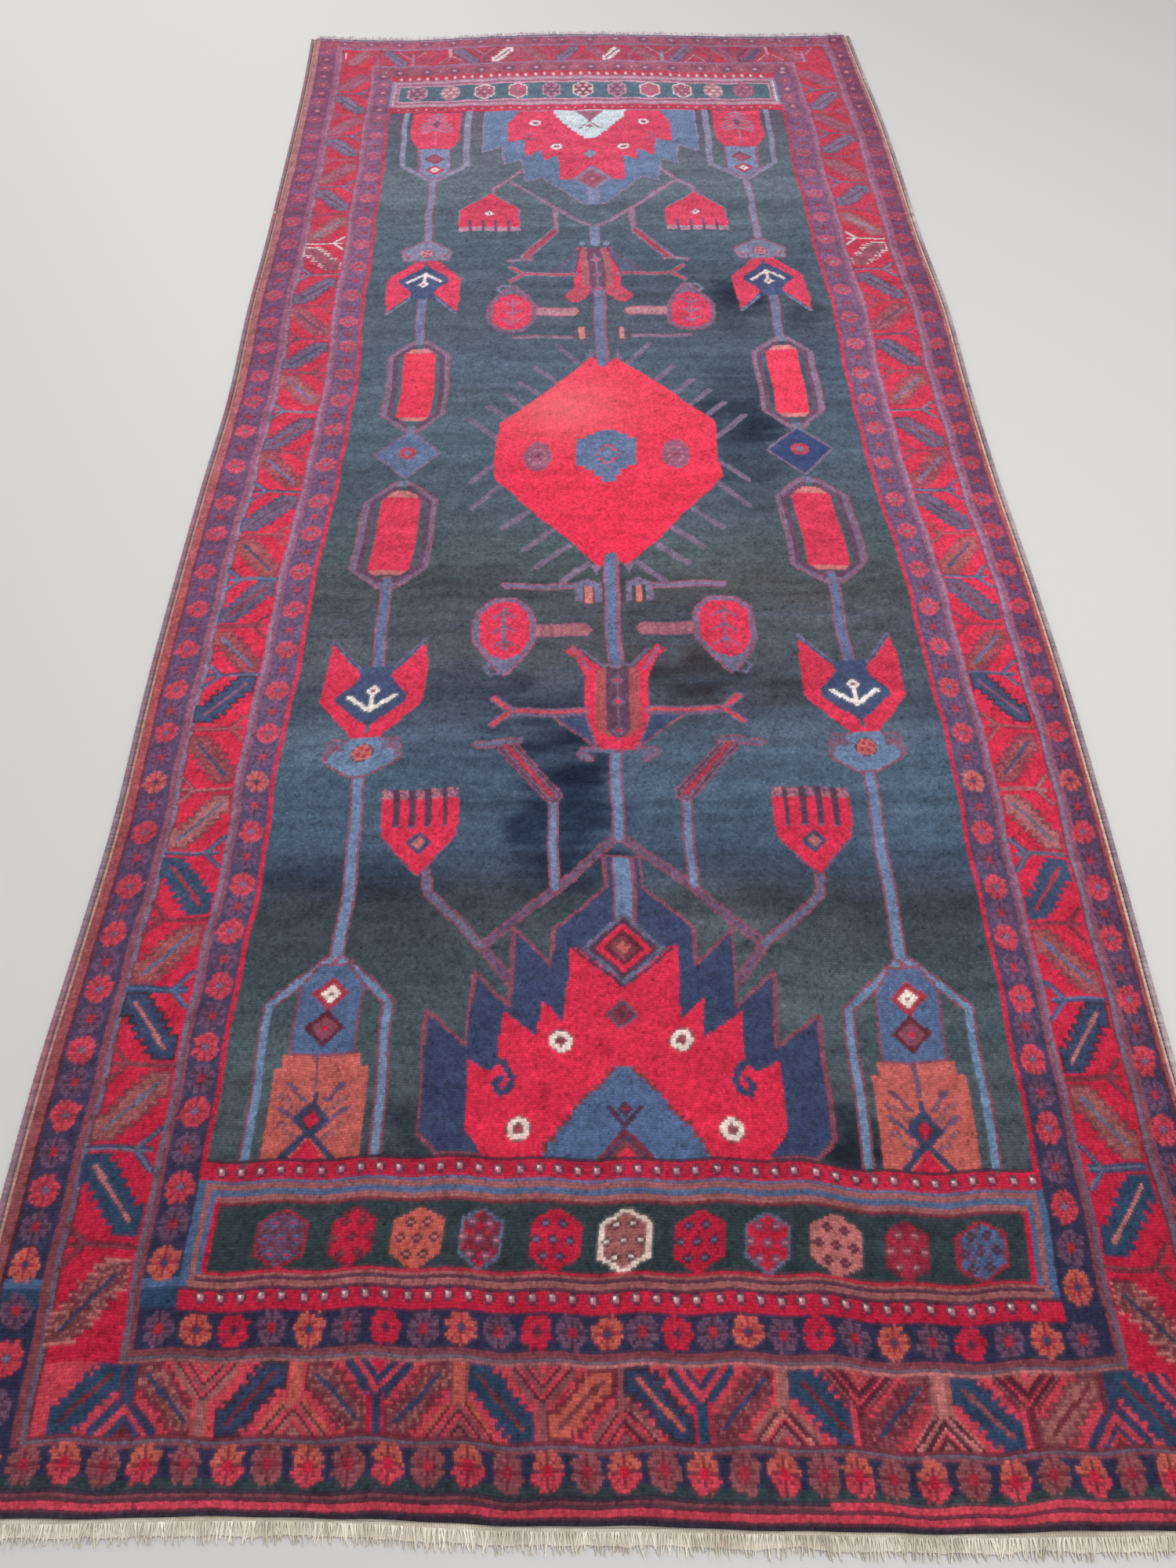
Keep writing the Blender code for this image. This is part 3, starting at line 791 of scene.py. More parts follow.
def vase(x, base, up):
    """An arch around a stepped block and a blue head with two diamonds."""
    near, at = up > 0, (x, base, up)
    if near:
        arch, gems = [(78, 0), (78, 204), (8, 272)], (173, 222)
        block = [(60, 0), (60, 116), (50, 116), (50, 134)]
        head = [(41, 134), (41, 232), (18, 266)]
    else:
        arch, gems = [(78, 0), (78, 277), (8, 345)], (243, 298)
        block = [(61, 0), (61, 135), (52, 165), (38, 192)]
        head = [(39, 190), (39, 300), (12, 340)]
    pair("sky" if near else "slate", 9, arch, "rose" if near else "mauve", at=at)
    patch("orange" if near else "cherry", whole(block, at))
    outlined("azure" if near else "sky", "rose", whole(head, at), 4)
    lower, upper = (base + up * gem for gem in gems)
    lozenge(x, lower, (27, 26, "maroon"), (18, 18, "rose"), (6, 6, "crimson"))
    lozenge(x, upper, (25, 25, "red"), (13, 13, "cream"), (4, 4, "brown"))
    if near:
        middle = x - 4
        at = (middle, base, 1)
        for y, out, dye in ((22, 38, "tan"), (42, 42, "mauve"), (58, 42, "tan"), (74, 34, "mauve")):
            for run in sides([(14, y), (out, y + 22)], at):
                stroke("mauve", 8, run, 8)
                stroke(dye, 5, run)
        stroke("mauve", 4, set_at([(0, 92), (0, 134)], at))
        pair("navy", 8, [(0, 34), (-30, 0)], at=at)
        lozenge(middle, base + 50, (23, 27, "navy"), (12, 14, "madder"), (9, 10, "crimson"))
        stroke("navy", 7, set_at([(0, 70), (0, 84)], at))
        patch("crimson", whole([(0, 26), (20, 0)], at))
    else:
        stroke("mauve", 4, [(x, base), (x, base - 172)])
        for y, out in ((8, 20), (24, 28), (40, 35), (56, 40), (72, 38), (88, 32)):
            pair("mauve", 5.4, [(2, y), (out, y + 0.7 * out)], at=at)
        lozenge(x, base - 62, (9, 24, "plum"))


CHAIN = 375.0
runs = (-1080, -770, "sky"), (-560, -360, "azure"), (330, 505, "azure"), (688, 965, "slate")
for side in (-1, 1):
    x = side * CHAIN
    for low, high, dye in runs:
        edged(dye, "rose", 15, [(x, low), (x, high)], 3.5)
    horned_flower(x, -698, 1)
    side_tulip(x, -697, 1)
    long_box(x, -340, -145, "cherry", 37)
    lozenge(x, -26, (66, 72, "mauve"), (60, 65, "azure" if side < 0 else "indigo"))
    disc(x, -22, (17, "red"), (8, "mauve"))
    long_box(x, 78, 290, "scarlet", 34)
    side_tulip(x, 626, -1)
    horned_flower(x, 624, -1)
    vase(x, FIELD_LOW, 1)
    vase(x, FIELD_HIGH, -1)
chart[NEAR_BORDER - 1, SIDE_BORDER:-SIDE_BORDER] = CODE["ink"]

# Every knot's colour. Wool is dyed in small lots, so the ground changes tone in bands as the rows go on,
# and each dye has streaks and single knots that came out lighter or darker. The field's bands and patches
# below also hold painted light: painted sheen and painted shade.
# The field by rows: dye lots, plus painted sheen where the field is bluer and paler near rows 225 to 275
# and towards the far end, and plum painted shade at row 842.
FIELD_BANDS_AND_LIGHT = (
    # row, colour
    (104, "#484e55"), (125, "#4c5459"), (150, "#48535a"), (180, "#414950"), (205, "#3e434b"),
    (225, "#465569"), (245, "#4e6072"), (275, "#536476"), (300, "#495160"), (330, "#525760"),
    (350, "#505560"), (372, "#505256"), (395, "#4e585f"), (430, "#515b67"), (480, "#53616f"),
    (520, "#54606e"), (545, "#546273"), (590, "#575f6c"), (620, "#545e6d"), (660, "#556372"),
    (720, "#646f7b"), (780, "#686d7a"), (842, "#6c5e71"),
)
# Patches of painted shade where the pile lies another way, as dark as given; those below zero are lighter,
# as painted sheen.
PILE_SHADE_AND_SHEEN = (
    # knot, row, half width, half height, how dark
    (196, 240, 27, 46, 0.68), (190, 290, 27, 22, 0.35), (303, 470, 30, 30, 0.4),
    (303, 520, 28, 36, 0.28), (306, 612, 32, 14, 0.44), (350, 592, 20, 14, 0.36),
    (305, 108, 18, 8, 0.35), (135, 308, 26, 12, -0.16), (88, 138, 16, 12, -0.3),
    (306, 600, 28, 32, 0.28), (350, 530, 26, 60, 0.15), (255, 160, 34, 30, -0.35),
    (235, 200, 50, 16, -0.4), (88, 284, 24, 12, -0.25), (316, 284, 52, 12, -0.34),
    (348, 308, 26, 12, -0.2), (186, 190, 36, 18, -0.2), (350, 234, 24, 12, -0.2),
    (316, 356, 52, 12, -0.36), (186, 276, 36, 22, 0.45), (104, 214, 46, 9, 0.35),
    (140, 112, 24, 12, 0.5), (298, 112, 20, 14, 0.6), (140, 262, 30, 26, 0.16),
    (150, 312, 34, 13, 0.35), (268, 317, 48, 13, 0.4), (255, 352, 34, 18, 0.22),
    (180, 376, 90, 14, 0.22), (300, 494, 30, 22, 0.4), (318, 606, 36, 18, 0.25),
    (312, 560, 60, 90, 0.1), (250, 640, 40, 26, 0.1), (90, 800, 24, 40, 0.18),
    (305, 176, 26, 22, -0.3), (110, 260, 46, 13, 0.14), (305, 308, 22, 10, 0.12),
    (186, 308, 30, 12, 0.14), (88, 332, 22, 12, -0.22), (305, 428, 26, 14, 0.14),
    (340, 476, 34, 20, 0.18), (110, 525, 56, 50, -0.15), (345, 646, 30, 20, 0.14),
    (300, 714, 74, 14, 0.14), (330, 834, 44, 12, 0.14),
)
# Patches that darken the field, taking more blue and green than red.
OLIVE_PATCHES = (
    (255, 322, 46, 16, 0.3), (300, 308, 40, 14, 0.18), (255, 298, 36, 12, 0.14),
    (200, 338, 50, 20, 0.14), (280, 368, 100, 14, 0.14),
)


def linear(colour):
    part = np.array([int(colour[k : k + 2], 16) for k in (1, 3, 5)]) / 255
    return np.where(part > 0.04, ((part + 0.055) / 1.055) ** 2.4, part / 12.92)


def drift(seed, across, up):
    """Soft patches over the whole chart, about -1 to 1: a coarse lattice of tones, blended."""
    lattice = np.random.default_rng(seed).uniform(-1, 1, (up + 2, across + 2))
    return blend(lattice, np.linspace(0, up, ROWS)[:, None], np.linspace(0, across, KNOTS)[None], True)


chance = np.random.default_rng(11)
STOPS = (60, 330, 780)
row_numbers = np.arange(ROWS)
shares = np.stack([np.interp(row_numbers, STOPS, stop) for stop in np.eye(3)], -1)
tones = np.array([[linear(colour) for colour in lots[:3]] for lots in DYES.values()])
# Each knot takes its dye's colour for its row, with the painted shade and sheen along the rug.
faded_and_lit_rows = np.einsum("rs,dsc->rdc", shares, tones)
knot_colours = faded_and_lit_rows[row_numbers[:, None], chart]
lots = np.array([linear(colour) for row, colour in FIELD_BANDS_AND_LIGHT])
jittered_rows = row_numbers + chance.normal(0, 2.5, ROWS)
field_band_rows = [row for row, colour in FIELD_BANDS_AND_LIGHT]
field_rows = np.stack([np.interp(jittered_rows, field_band_rows, lot) for lot in lots.T], -1)
field_rows *= 1 + 0.10 * drift(3, 1, 240)[:, :1] + chance.normal(0, 0.04, (ROWS, 1))
ground = chart == CODE["field"]
knot_colours = np.where(ground[..., None], field_rows[:, None, :], knot_colours)
patch_edges = drift(7, 30, 70) + 0.6 * drift(12, 9, 24) + 0.8 * drift(14, 22, 300)


def away(knot, row, wide, tall):
    """How far each knot lies from a spot, squared, in widths and heights of the spot."""
    return ((np.arange(KNOTS) - knot) / wide)[None] ** 2 + ((row_numbers - row) / tall)[:, None] ** 2


# Each patch darkens the field knots, or lightens them as painted sheen where it is below zero.
for table, taken in ((PILE_SHADE_AND_SHEEN, (1.04, 1.0, 0.86)), (OLIVE_PATCHES, (0.4, 1.0, 1.3))):
    for *spot, depth in table:
        deep = depth * np.clip(1.25 - away(*spot) + 0.5 * patch_edges, 0, 1) * ground
        knot_colours *= 1 - deep[..., None] * np.array(taken)
streaks = 1 + 0.10 * drift(5, 7, 160) + 0.09 * drift(6, 60, 300) + 0.10 * drift(8, 5, 12)
tufts = 1 + chance.normal(0, 0.17, chart.shape) + 0.1 * drift(10, 110, 320)
knot_colours = knot_colours * (streaks * tufts)[..., None]
# The outer guards are darker and redder from row 90 on, fully so from row 260, the right one most.
deeper = np.interp(row_numbers, (90, 260), (0, 1))[:, None, None]
for guard, kept in ((slice(4, 19), (0.95, 0.8, 0.84)), (slice(426, 437), (0.86, 0.66, 0.7))):
    knot_colours[:, guard] *= 1 - deeper * (1 - np.array(kept))
# A painted highlight: the medallion's scarlet turns paler and more orange around knot 196, row 508.
painted_highlight = (0.25 * np.exp(-away(196, 508, 34, 26)) * (chart == CODE["scarlet"]))[..., None]
knot_colours = np.clip(knot_colours + painted_highlight * (np.array([0.9, 0.35, 0.3]) - knot_colours), 0, 1)

# The pile itself. Each knot's cut tuft is one small face on a foundation of cotton, in five
# lengths of cloth that meet edge to edge, where the real rug is one weave.
STRIPS = ("pile_left_side", "pile_left", "pile_middle", "pile_right", "pile_right_side")
STRIP_KNOTS = KNOTS // len(STRIPS)
lines, picks = np.meshgrid(np.arange(KNOTS + 1.0), np.arange(ROWS + 1.0))
knot_at_x, knot_at_y = lay(lines, picks)
inner = (slice(1, -1), slice(1, -1))
top = cloth_top(knot_at_x, knot_at_y)
for shifted in (knot_at_x, knot_at_y):
    shifted[inner] += chance.normal(0, 0.00033, shifted[inner].shape)
worn = np.pad(np.array([float(lots[3]) for lots in DYES.values()])[chart], 1, mode="edge")
worn = (worn[1:, 1:] + worn[:-1, 1:] + worn[1:, :-1] + worn[:-1, :-1]) / 4
rim = np.minimum(np.minimum(lines, KNOTS - lines), np.minimum(picks, ROWS - picks))
top_z = top - 0.001 * worn + chance.normal(0, 0.0004, top.shape) - 0.0013 * np.exp(-rim / 0.8)
# Neighbouring tufts mix at their tips, so each knot is a little of the next one's colour there.
spread = np.pad(knot_colours, ((1, 1), (1, 1), (0, 0)), mode="edge")
meeting = (spread[1:, 1:] + spread[:-1, 1:] + spread[1:, :-1] + spread[:-1, :-1]) / 4


def put(name, data):
    """An object in the scene."""
    piece = bpy.data.objects.new(name, data)
    bpy.context.scene.collection.objects.link(piece)
    return piece


def faces_of(grid):
    """The four-cornered faces between the lines of a grid of point numbers."""
    return np.stack([grid[:-1, :-1], grid[:-1, 1:], grid[1:, 1:], grid[1:, :-1]], -1).reshape(-1, 4)


def pile_strip(name, first):
    """A closed length of cloth: knots on top, plain underneath."""
    across, up = STRIP_KNOTS + 1, ROWS + 1
    cut = slice(first, first + across)
    upper = np.stack([knot_at_x[:, cut], knot_at_y[:, cut], top_z[:, cut]], -1)
    under = upper[:, [0, -1]].copy()
    under[..., 2] = np.maximum(top[:, [first, first + STRIP_KNOTS]] - CLOTH, 0)
    points = np.concatenate([upper.reshape(-1, 3), under.reshape(-1, 3)])
    on_top = np.arange(across * up).reshape(up, across)
    below = across * up + np.arange(2 * up).reshape(up, 2)
    left, right = np.stack([on_top[:, 0], below[:, 0]]), np.stack([on_top[:, -1], below[:, 1]])
    quads = np.concatenate([faces_of(grid) for grid in (on_top, below.T, left, right.T)])
    ends = [
        [below[0, 0], below[0, 1], *on_top[0, ::-1]],
        [below[-1, 1], below[-1, 0], *on_top[-1]],
    ]
    mesh = bpy.data.meshes.new(name)
    mesh.from_pydata(points.tolist(), [], quads.tolist() + [[int(v) for v in e] for e in ends])
    knots = STRIP_KNOTS * ROWS
    colours = np.full((len(mesh.loops), 4), (0.5, 0.45, 0.38, 1.0))
    own = knot_colours[:, first : first + STRIP_KNOTS]
    mixed = meeting[:, cut]
    corners = [mixed[:-1, :-1], mixed[:-1, 1:], mixed[1:, 1:], mixed[1:, :-1]]
    strip_colours = np.stack([0.6 * own + 0.4 * corner for corner in corners], 2)
    colours[: 4 * knots, :3] = strip_colours.reshape(-1, 3)
    back = np.repeat(0.5 * own.mean(1) + 0.22, 4, axis=0)
    colours[4 * knots : 4 * (knots + 3 * ROWS), :3] = np.concatenate([back, back, back])
    mesh.attributes.new("dye", "FLOAT_COLOR", "CORNER").data.foreach_set("color", colours.ravel())
    # The first map folds the strip in three, into a square. The second counts knots and rows.
    corner_c, corner_r = np.array([0, 1, 1, 0]), np.array([0, 0, 1, 1])
    row, fold = np.arange(ROWS)[:, None, None], ROWS // 3
    c = np.arange(STRIP_KNOTS)[None, :, None] + corner_c + np.zeros((ROWS, 1, 1))
    r = row + corner_r + np.zeros((1, STRIP_KNOTS, 1))
    third = row // fold + np.zeros_like(c)
    folded_v = 0.005 + 0.99 * (r - fold * third) / fold
    folded = 0.004 + 0.313 * third + 0.305 * c / STRIP_KNOTS, folded_v
    plain = []
    for low, high, rises in ((0.946, 0.982, corner_c), (0.986, 0.990, corner_c), (0.992, 0.996, corner_r)):
        u = np.array([low, low, high, high]) + np.zeros((ROWS, 1))
        turn = row[..., 0] / ROWS * 0.99 + 0.005 + rises / ROWS * 0.99
        plain.append(np.stack([u, turn], -1).reshape(-1, 2))
    tail = np.full((2 * (across + 2), 2), 0.998)
    tail[:, 1] = np.linspace(0.01, 0.99, len(tail))
    for title, top_map in (("OFBake", folded), ("knots", (c + first, r))):
        flat = np.stack([part.ravel() for part in top_map], -1)
        flat = np.concatenate([flat, *plain, tail])
        mesh.uv_layers.new(name=title).data.foreach_set("uv", flat.ravel())
    return put(name, mesh)


def step(tree, kind, inputs=None, out=0, **settings):
    """One node's output, with its sockets filled with values or joined to other outputs."""
    node = tree.nodes.new(kind)
    for name, value in settings.items():
        setattr(node, name, value)
    for name, value in (inputs or {}).items():
        if isinstance(value, bpy.types.NodeSocket):
            tree.links.new(value, node.inputs[name])
        else:
            node.inputs[name].default_value = value
    return node.outputs[out]


def sums(tree, operation, *values):
    return step(tree, "ShaderNodeMath", dict(enumerate(values)), operation=operation)


def noise(tree, place, scale, detail):
    return step(tree, "ShaderNodeTexNoise", {"Vector": place, "Scale": scale, "Detail": detail})


def finish_of(name, roughness, sheen):
    """A matt fibre finish, the tree to work in, its shader and the object's own coordinates."""
    finish = bpy.data.materials.new(name)
    finish.use_nodes = True
    tree = finish.node_tree
    skin = tree.nodes["Principled BSDF"]
    skin.inputs["Roughness"].default_value = roughness
    skin.inputs["Sheen Weight"].default_value = sheen
    skin.inputs["Sheen Roughness"].default_value = 0.5
    skin.inputs["Specular IOR Level"].default_value = 0.06
    return finish, tree, skin, step(tree, "ShaderNodeTexCoord", out="Object")


def dress(tree, skin, colour, tone, height, strength, distance):
    """Gives a finish its colour, made lighter or darker by tone, and its relief."""
    shaded = step(tree, "ShaderNodeHueSaturation", {"Value": tone, "Color": colour})
    tree.links.new(shaded, skin.inputs["Base Color"])
    relief = {"Height": height, "Strength": strength, "Distance": distance}
    tree.links.new(step(tree, "ShaderNodeBump", relief), skin.inputs["Normal"])


wool, tree, skin, place = finish_of("cut wool pile", 0.97, 0.04)
fibres, lie = noise(tree, place, 620.0, 3.0), noise(tree, place, 55.0, 4.0)
ways = step(tree, "ShaderNodeSeparateXYZ", {"Vector": step(tree, "ShaderNodeUVMap", uv_map="knots")})
domes = [sums(tree, "PINGPONG", way, 0.5) for way in ways.node.outputs[:2]]
# The tone is random fibres and lie, and painted shade that darkens each knot towards its edges, between
# the tufts.
tone = sums(tree, "MULTIPLY_ADD", fibres, 0.85, 0.57)
tone = sums(tree, "MULTIPLY_ADD", lie, 0.24, sums(tree, "SUBTRACT", tone, 0.12))
tone = sums(tree, "MULTIPLY_ADD", domes[0], 0.16, sums(tree, "SUBTRACT", tone, 0.12))
tone = sums(tree, "MULTIPLY_ADD", domes[1], 0.42, tone)
dome = sums(tree, "MULTIPLY_ADD", fibres, 0.9, sums(tree, "MINIMUM", *domes))
dye = step(tree, "ShaderNodeAttribute", attribute_name="dye")
dress(tree, skin, dye, tone, dome, 0.75, 0.002)

for k, name in enumerate(STRIPS):
    piece = pile_strip(name, k * STRIP_KNOTS)
    piece.data.materials.append(wool)
    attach(piece, "root")
    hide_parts("rug_body")

# Side cords. The outermost warps on each side are bundled into two cords and wrapped closely
# with wool as the rows go up: a thick outer one, and a thinner one against the pile.
WRAP = 0.006
SIDE_CORDS = (
    # name, edge, side, middle from the pile, radius, flatness, and the dyes of its yarns
    ("left_outer_cord", left_edge, -1, 0.0112, 0.0044, 0.86, "#a04a58 #8a7480 #b8a0a2 #a5606c"),
    ("left_inner_cord", left_edge, -1, 0.0036, 0.0031, 1.02, "#a5746a #b98a78 #9a6a66 #b07a80"),
    ("right_outer_cord", right_edge, 1, 0.0112, 0.0044, 0.86, "#b9a6a4 #8a7480 #a08890 #c4b4b0"),
    ("right_inner_cord", right_edge, 1, 0.0036, 0.0031, 1.02, "#b57e74 #cfae9c #a5706c #c09a90"),
)


def growing(name, floats, **others):
    """An empty Geometry Nodes tree with named inputs, and those inputs."""
    tree = bpy.data.node_groups.new(name, "GeometryNodeTree")
    kinds = {"Geometry": "Geometry"} | {title: "Float" for title in floats.split()} | others
    for title, kind in (kinds | {"Finish": "Material"}).items():
        tree.interface.new_socket(title, in_out="INPUT", socket_type="NodeSocket" + kind)
    tree.interface.new_socket("Geometry", in_out="OUTPUT", socket_type="NodeSocketGeometry")
    return tree, tree.nodes.new("NodeGroupInput").outputs


def finished(tree, body, finish):
    """Ends a tree: real geometry, in its finish."""
    body = step(tree, "GeometryNodeRealizeInstances", {"Geometry": body})
    body = step(tree, "GeometryNodeSetMaterial", {"Geometry": body, "Material": finish})
    tree.links.new(body, tree.nodes.new("NodeGroupOutput").inputs[0])


def grown(name, points, tree, values):
    """A plain mesh of what the tree grows along a line of points."""
    line = bpy.data.meshes.new(name)
    line.from_pydata([tuple(p) for p in points], [(k, k + 1) for k in range(len(points) - 1)], [])
    source = put(name, line)
    modifier = source.modifiers.new("grow", "NODES")
    modifier.node_group = tree
    for item in tree.interface.items_tree:
        if item.item_type == "SOCKET" and item.in_out == "INPUT" and item.name in values:
            modifier[item.identifier] = values[item.name]
    result = source.evaluated_get(bpy.context.evaluated_depsgraph_get())
    mesh = bpy.data.meshes.new_from_object(result)
    bpy.data.objects.remove(source)
    mesh.name = name
    return put(name, mesh)


def kept_as(tree, geometry, name, value):
    """Stores a value on each point, for the finish to read."""
    inputs = {"Geometry": geometry, "Name": name, "Value": value}
    return step(tree, "GeometryNodeStoreNamedAttribute", inputs, domain="POINT", data_type="FLOAT")


cord, given = growing("wrapped cord", "Radius Flatness Wrap Ridge")
path = step(cord, "GeometryNodeMeshToCurve", {"Mesh": given["Geometry"]})
spacing = {"Curve": path, "Length": sums(cord, "MULTIPLY", given["Wrap"], 0.5)}
path = step(cord, "GeometryNodeResampleCurve", spacing, mode="LENGTH")
path = kept_as(cord, path, "along", step(cord, "GeometryNodeSplineParameter", out="Length"))
number = step(cord, "GeometryNodeInputIndex")
swell = sums(cord, "MULTIPLY", sums(cord, "MODULO", number, 2.0), given["Ridge"])
uneven = step(cord, "FunctionNodeRandomValue", {2: -0.05, 3: 0.05, "Seed": 4}, 1)
size = sums(cord, "ADD", sums(cord, "SUBTRACT", 1.0, swell), uneven)
ring = step(cord, "GeometryNodeCurvePrimitiveCircle", {"Resolution": 6, "Radius": given["Radius"]})
ring = kept_as(cord, ring, "around", step(cord, "GeometryNodeSplineParameter"))
body = {"Curve": path, "Profile Curve": ring, "Scale": size, "Fill Caps": True}
body = step(cord, "GeometryNodeCurveToMesh", body)
squash = step(cord, "ShaderNodeCombineXYZ", {"X": 1.0, "Y": 1.0, "Z": given["Flatness"]})
at = step(cord, "GeometryNodeInputPosition")
pressed = step(cord, "ShaderNodeVectorMath", {0: at, 1: squash}, operation="MULTIPLY")
body = step(cord, "GeometryNodeSetPosition", {"Geometry": body, "Position": pressed})
finished(cord, body, given["Finish"])


def shades(tree, fac, spots, colours):
    """Runs through a few colours, each at its spot."""
    ramp = step(tree, "ShaderNodeValToRGB", {"Fac": fac})
    stops = ramp.node.color_ramp.elements
    for k, (spot, colour) in enumerate(zip(spots, colours.split())):
        stop = stops[k] if k < 2 else stops.new(0.5)
        stop.position, stop.color = spot, (*linear(colour), 1.0)
    return ramp


def wrapping(name, colours):
    """Wool wound round a cord: each turn a yarn of its own, the lot changing every span or so."""
    finish, tree, skin, place = finish_of(name, 0.92, 0.2)
    along = step(tree, "ShaderNodeAttribute", None, "Fac", attribute_name="along")
    around = step(tree, "ShaderNodeAttribute", None, "Fac", attribute_name="around")
    turns = sums(tree, "ADD", sums(tree, "DIVIDE", along, WRAP / 2), around)
    yarn = {"W": sums(tree, "FLOOR", turns)}
    single = step(tree, "ShaderNodeTexWhiteNoise", yarn, noise_dimensions="1D")
    lot = {"W": along, "Scale": 3.0, "Detail": 3.0}
    lot = step(tree, "ShaderNodeTexNoise", lot, noise_dimensions="1D")
    colour = shades(tree, lot, [0.28 + 0.44 * k / 3 for k in range(4)], colours)
    fuzz = noise(tree, place, 700.0, 2.0)
    tone = sums(tree, "MULTIPLY_ADD", single, 0.4, 0.6)
    tone = sums(tree, "MULTIPLY_ADD", fuzz, 0.4, tone)
    ridge = sums(tree, "MULTIPLY_ADD", fuzz, 0.4, sums(tree, "PINGPONG", turns, 0.5))
    dress(tree, skin, colour, tone, ridge, 0.7, 0.001)
    return finish


cords = {-1: [], 1: []}
for name, edge, side, middle, radius, flatness, dyes in SIDE_CORDS:
    run = edge[np.argsort(edge[:, 1])]
    run_y = np.linspace(run[0, 1] + 0.001, run[-1, 1] - 0.001, 90)
    run_x = edge_x(edge, run_y) + side * middle
    points = np.stack([run_x, run_y, np.full(90, radius)], -1)
    values = {"Radius": radius, "Flatness": flatness, "Wrap": WRAP, "Ridge": 0.16}
    values["Finish"] = wrapping(name + " overcasting", dyes)
    piece = grown(name, points, cord, values)
    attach(piece, "root")
    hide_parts("selvedge_left" if side < 0 else "selvedge_right")
    cords[side].append(piece)

# Ends. Past the last knots the warps are woven with plain cotton weft into a narrow strip that
# keeps the pile from slipping off, and then they hang loose as the fringe, cut and ravelled.
ENDS = (
    # name, edge, way out, width of the strip; where the loose threads start, how high, shortest,
    # longest, wander, colours
    ("near", near_edge, -1, 0.0165, 0.004, 0.0040, 0.013, 0.022, 0.006, "#d9a9a2 #ccc2ae #eee6d6"),
    ("far", far_edge, 1, 0.0100, 0.0085, 0.0024, 0.014, 0.031, 0.010, "#a88a96 #bcaab2 #ddd0d2"),
)
WEAVE_STEPS, WEAVE_THICKNESS = 4, 0.0033


def end_strip(name, edge, way, width):
    """A flat band of weave along an end, a little ragged on its outer side."""
    count = 400
    x = np.linspace(edge[:, 0].min(), edge[:, 0].max(), count + 1)
    y = edge_y(edge, x)
    slack = np.convolve(chance.normal(0, 0.0012, count + 11), np.ones(11) / 3.3, "valid")
    ragged = slack[: count + 1]
    rows = []
    for k in range(WEAVE_STEPS + 1):
        share = k / WEAVE_STEPS
        out = way * (share * (width + ragged * share) - 0.002 * (1 - share))
        z = WEAVE_THICKNESS * (1 - 0.35 * share**2) + chance.normal(0, 0.00018, count + 1)
        rows.append(np.stack([x, y + out, z], -1))
    upper = np.stack(rows)
    lower = upper[[0, -1]].copy()
    lower[..., 2] = 0.0
    points = np.concatenate([upper.reshape(-1, 3), lower.reshape(-1, 3)])
    ids = np.arange((WEAVE_STEPS + 1) * (count + 1)).reshape(WEAVE_STEPS + 1, count + 1)
    base = ids.size + np.arange(2 * (count + 1)).reshape(2, count + 1)
    loop = np.concatenate([ids, base[::-1], ids[:1]])
    faces = faces_of(loop).tolist()
    faces.append([int(v) for v in loop[:-1, 0]])
    faces.append([int(v) for v in loop[:-1, -1][::-1]])
    if way < 0:
        faces = [face[::-1] for face in faces]
    mesh = bpy.data.meshes.new(name)
    mesh.from_pydata(points.tolist(), [], faces)
    return put(name, mesh)


cotton, tree, skin, place = finish_of("woven cotton end", 0.9, 0.15)
ways = step(tree, "ShaderNodeSeparateXYZ", {"Vector": place}).node.outputs
warps = sums(tree, "PINGPONG", sums(tree, "MULTIPLY", ways["X"], 360.0), 0.5)
wefts = sums(tree, "PINGPONG", sums(tree, "MULTIPLY", ways["Y"], 800.0), 0.5)
soiled = shades(tree, noise(tree, place, 30.0, 5.0), (0.3, 0.6), "#c4b7a2 #efe6d4")
height = sums(tree, "ADD", sums(tree, "MULTIPLY", warps, wefts), noise(tree, place, 900.0, 2.0))
# The tone is lighter on the warps and thread crossings: painted shade in the weave's grooves.
tone = sums(tree, "MULTIPLY_ADD", height, 0.4, sums(tree, "MULTIPLY_ADD", warps, 0.7, 0.5))
dress(tree, skin, soiled, tone, height, 0.8, 0.0012)

sizes = "Shortest Longest Lean Wander Drop Thickness"
lock, given = growing("fringe", sizes, Strands="Int", Outward="Vector")
path = step(lock, "GeometryNodeMeshToCurve", {"Mesh": given["Geometry"]})
roots = step(lock, "GeometryNodeCurveToPoints", {"Curve": path, "Count": given["Strands"]})
luck = step(lock, "FunctionNodeRandomValue", {2: 0.0, 3: 1.0, "Seed": 21}, 1)
roots = kept_as(lock, roots, "strand", luck)
single = {"Start": (0, 0, 0), "End": given["Outward"]}
single = step(lock, "GeometryNodeCurvePrimitiveLine", single)
single = step(lock, "GeometryNodeResampleCurve", {"Curve": single, "Count": 4})
reach = {2: given["Shortest"], 3: given["Longest"], "Seed": 22}
reach = step(lock, "FunctionNodeRandomValue", reach, 1)
swing = {2: sums(lock, "MULTIPLY", given["Lean"], -1.0), 3: given["Lean"], "Seed": 23}
swing = step(lock, "ShaderNodeCombineXYZ", {"Z": step(lock, "FunctionNodeRandomValue", swing, 1)})
strands = {"Points": roots, "Instance": single, "Rotation": swing, "Scale": reach}
strands = step(lock, "GeometryNodeInstanceOnPoints", strands)
strands = step(lock, "GeometryNodeRealizeInstances", {"Geometry": strands})
share = step(lock, "GeometryNodeSplineParameter")
own = step(lock, "GeometryNodeInputNamedAttribute", {"Name": "strand"}, data_type="FLOAT")
at = step(lock, "GeometryNodeInputPosition")
curl = {"Vector": at, "W": sums(lock, "MULTIPLY", own, 3.0), "Scale": 45.0, "Detail": 2.0}
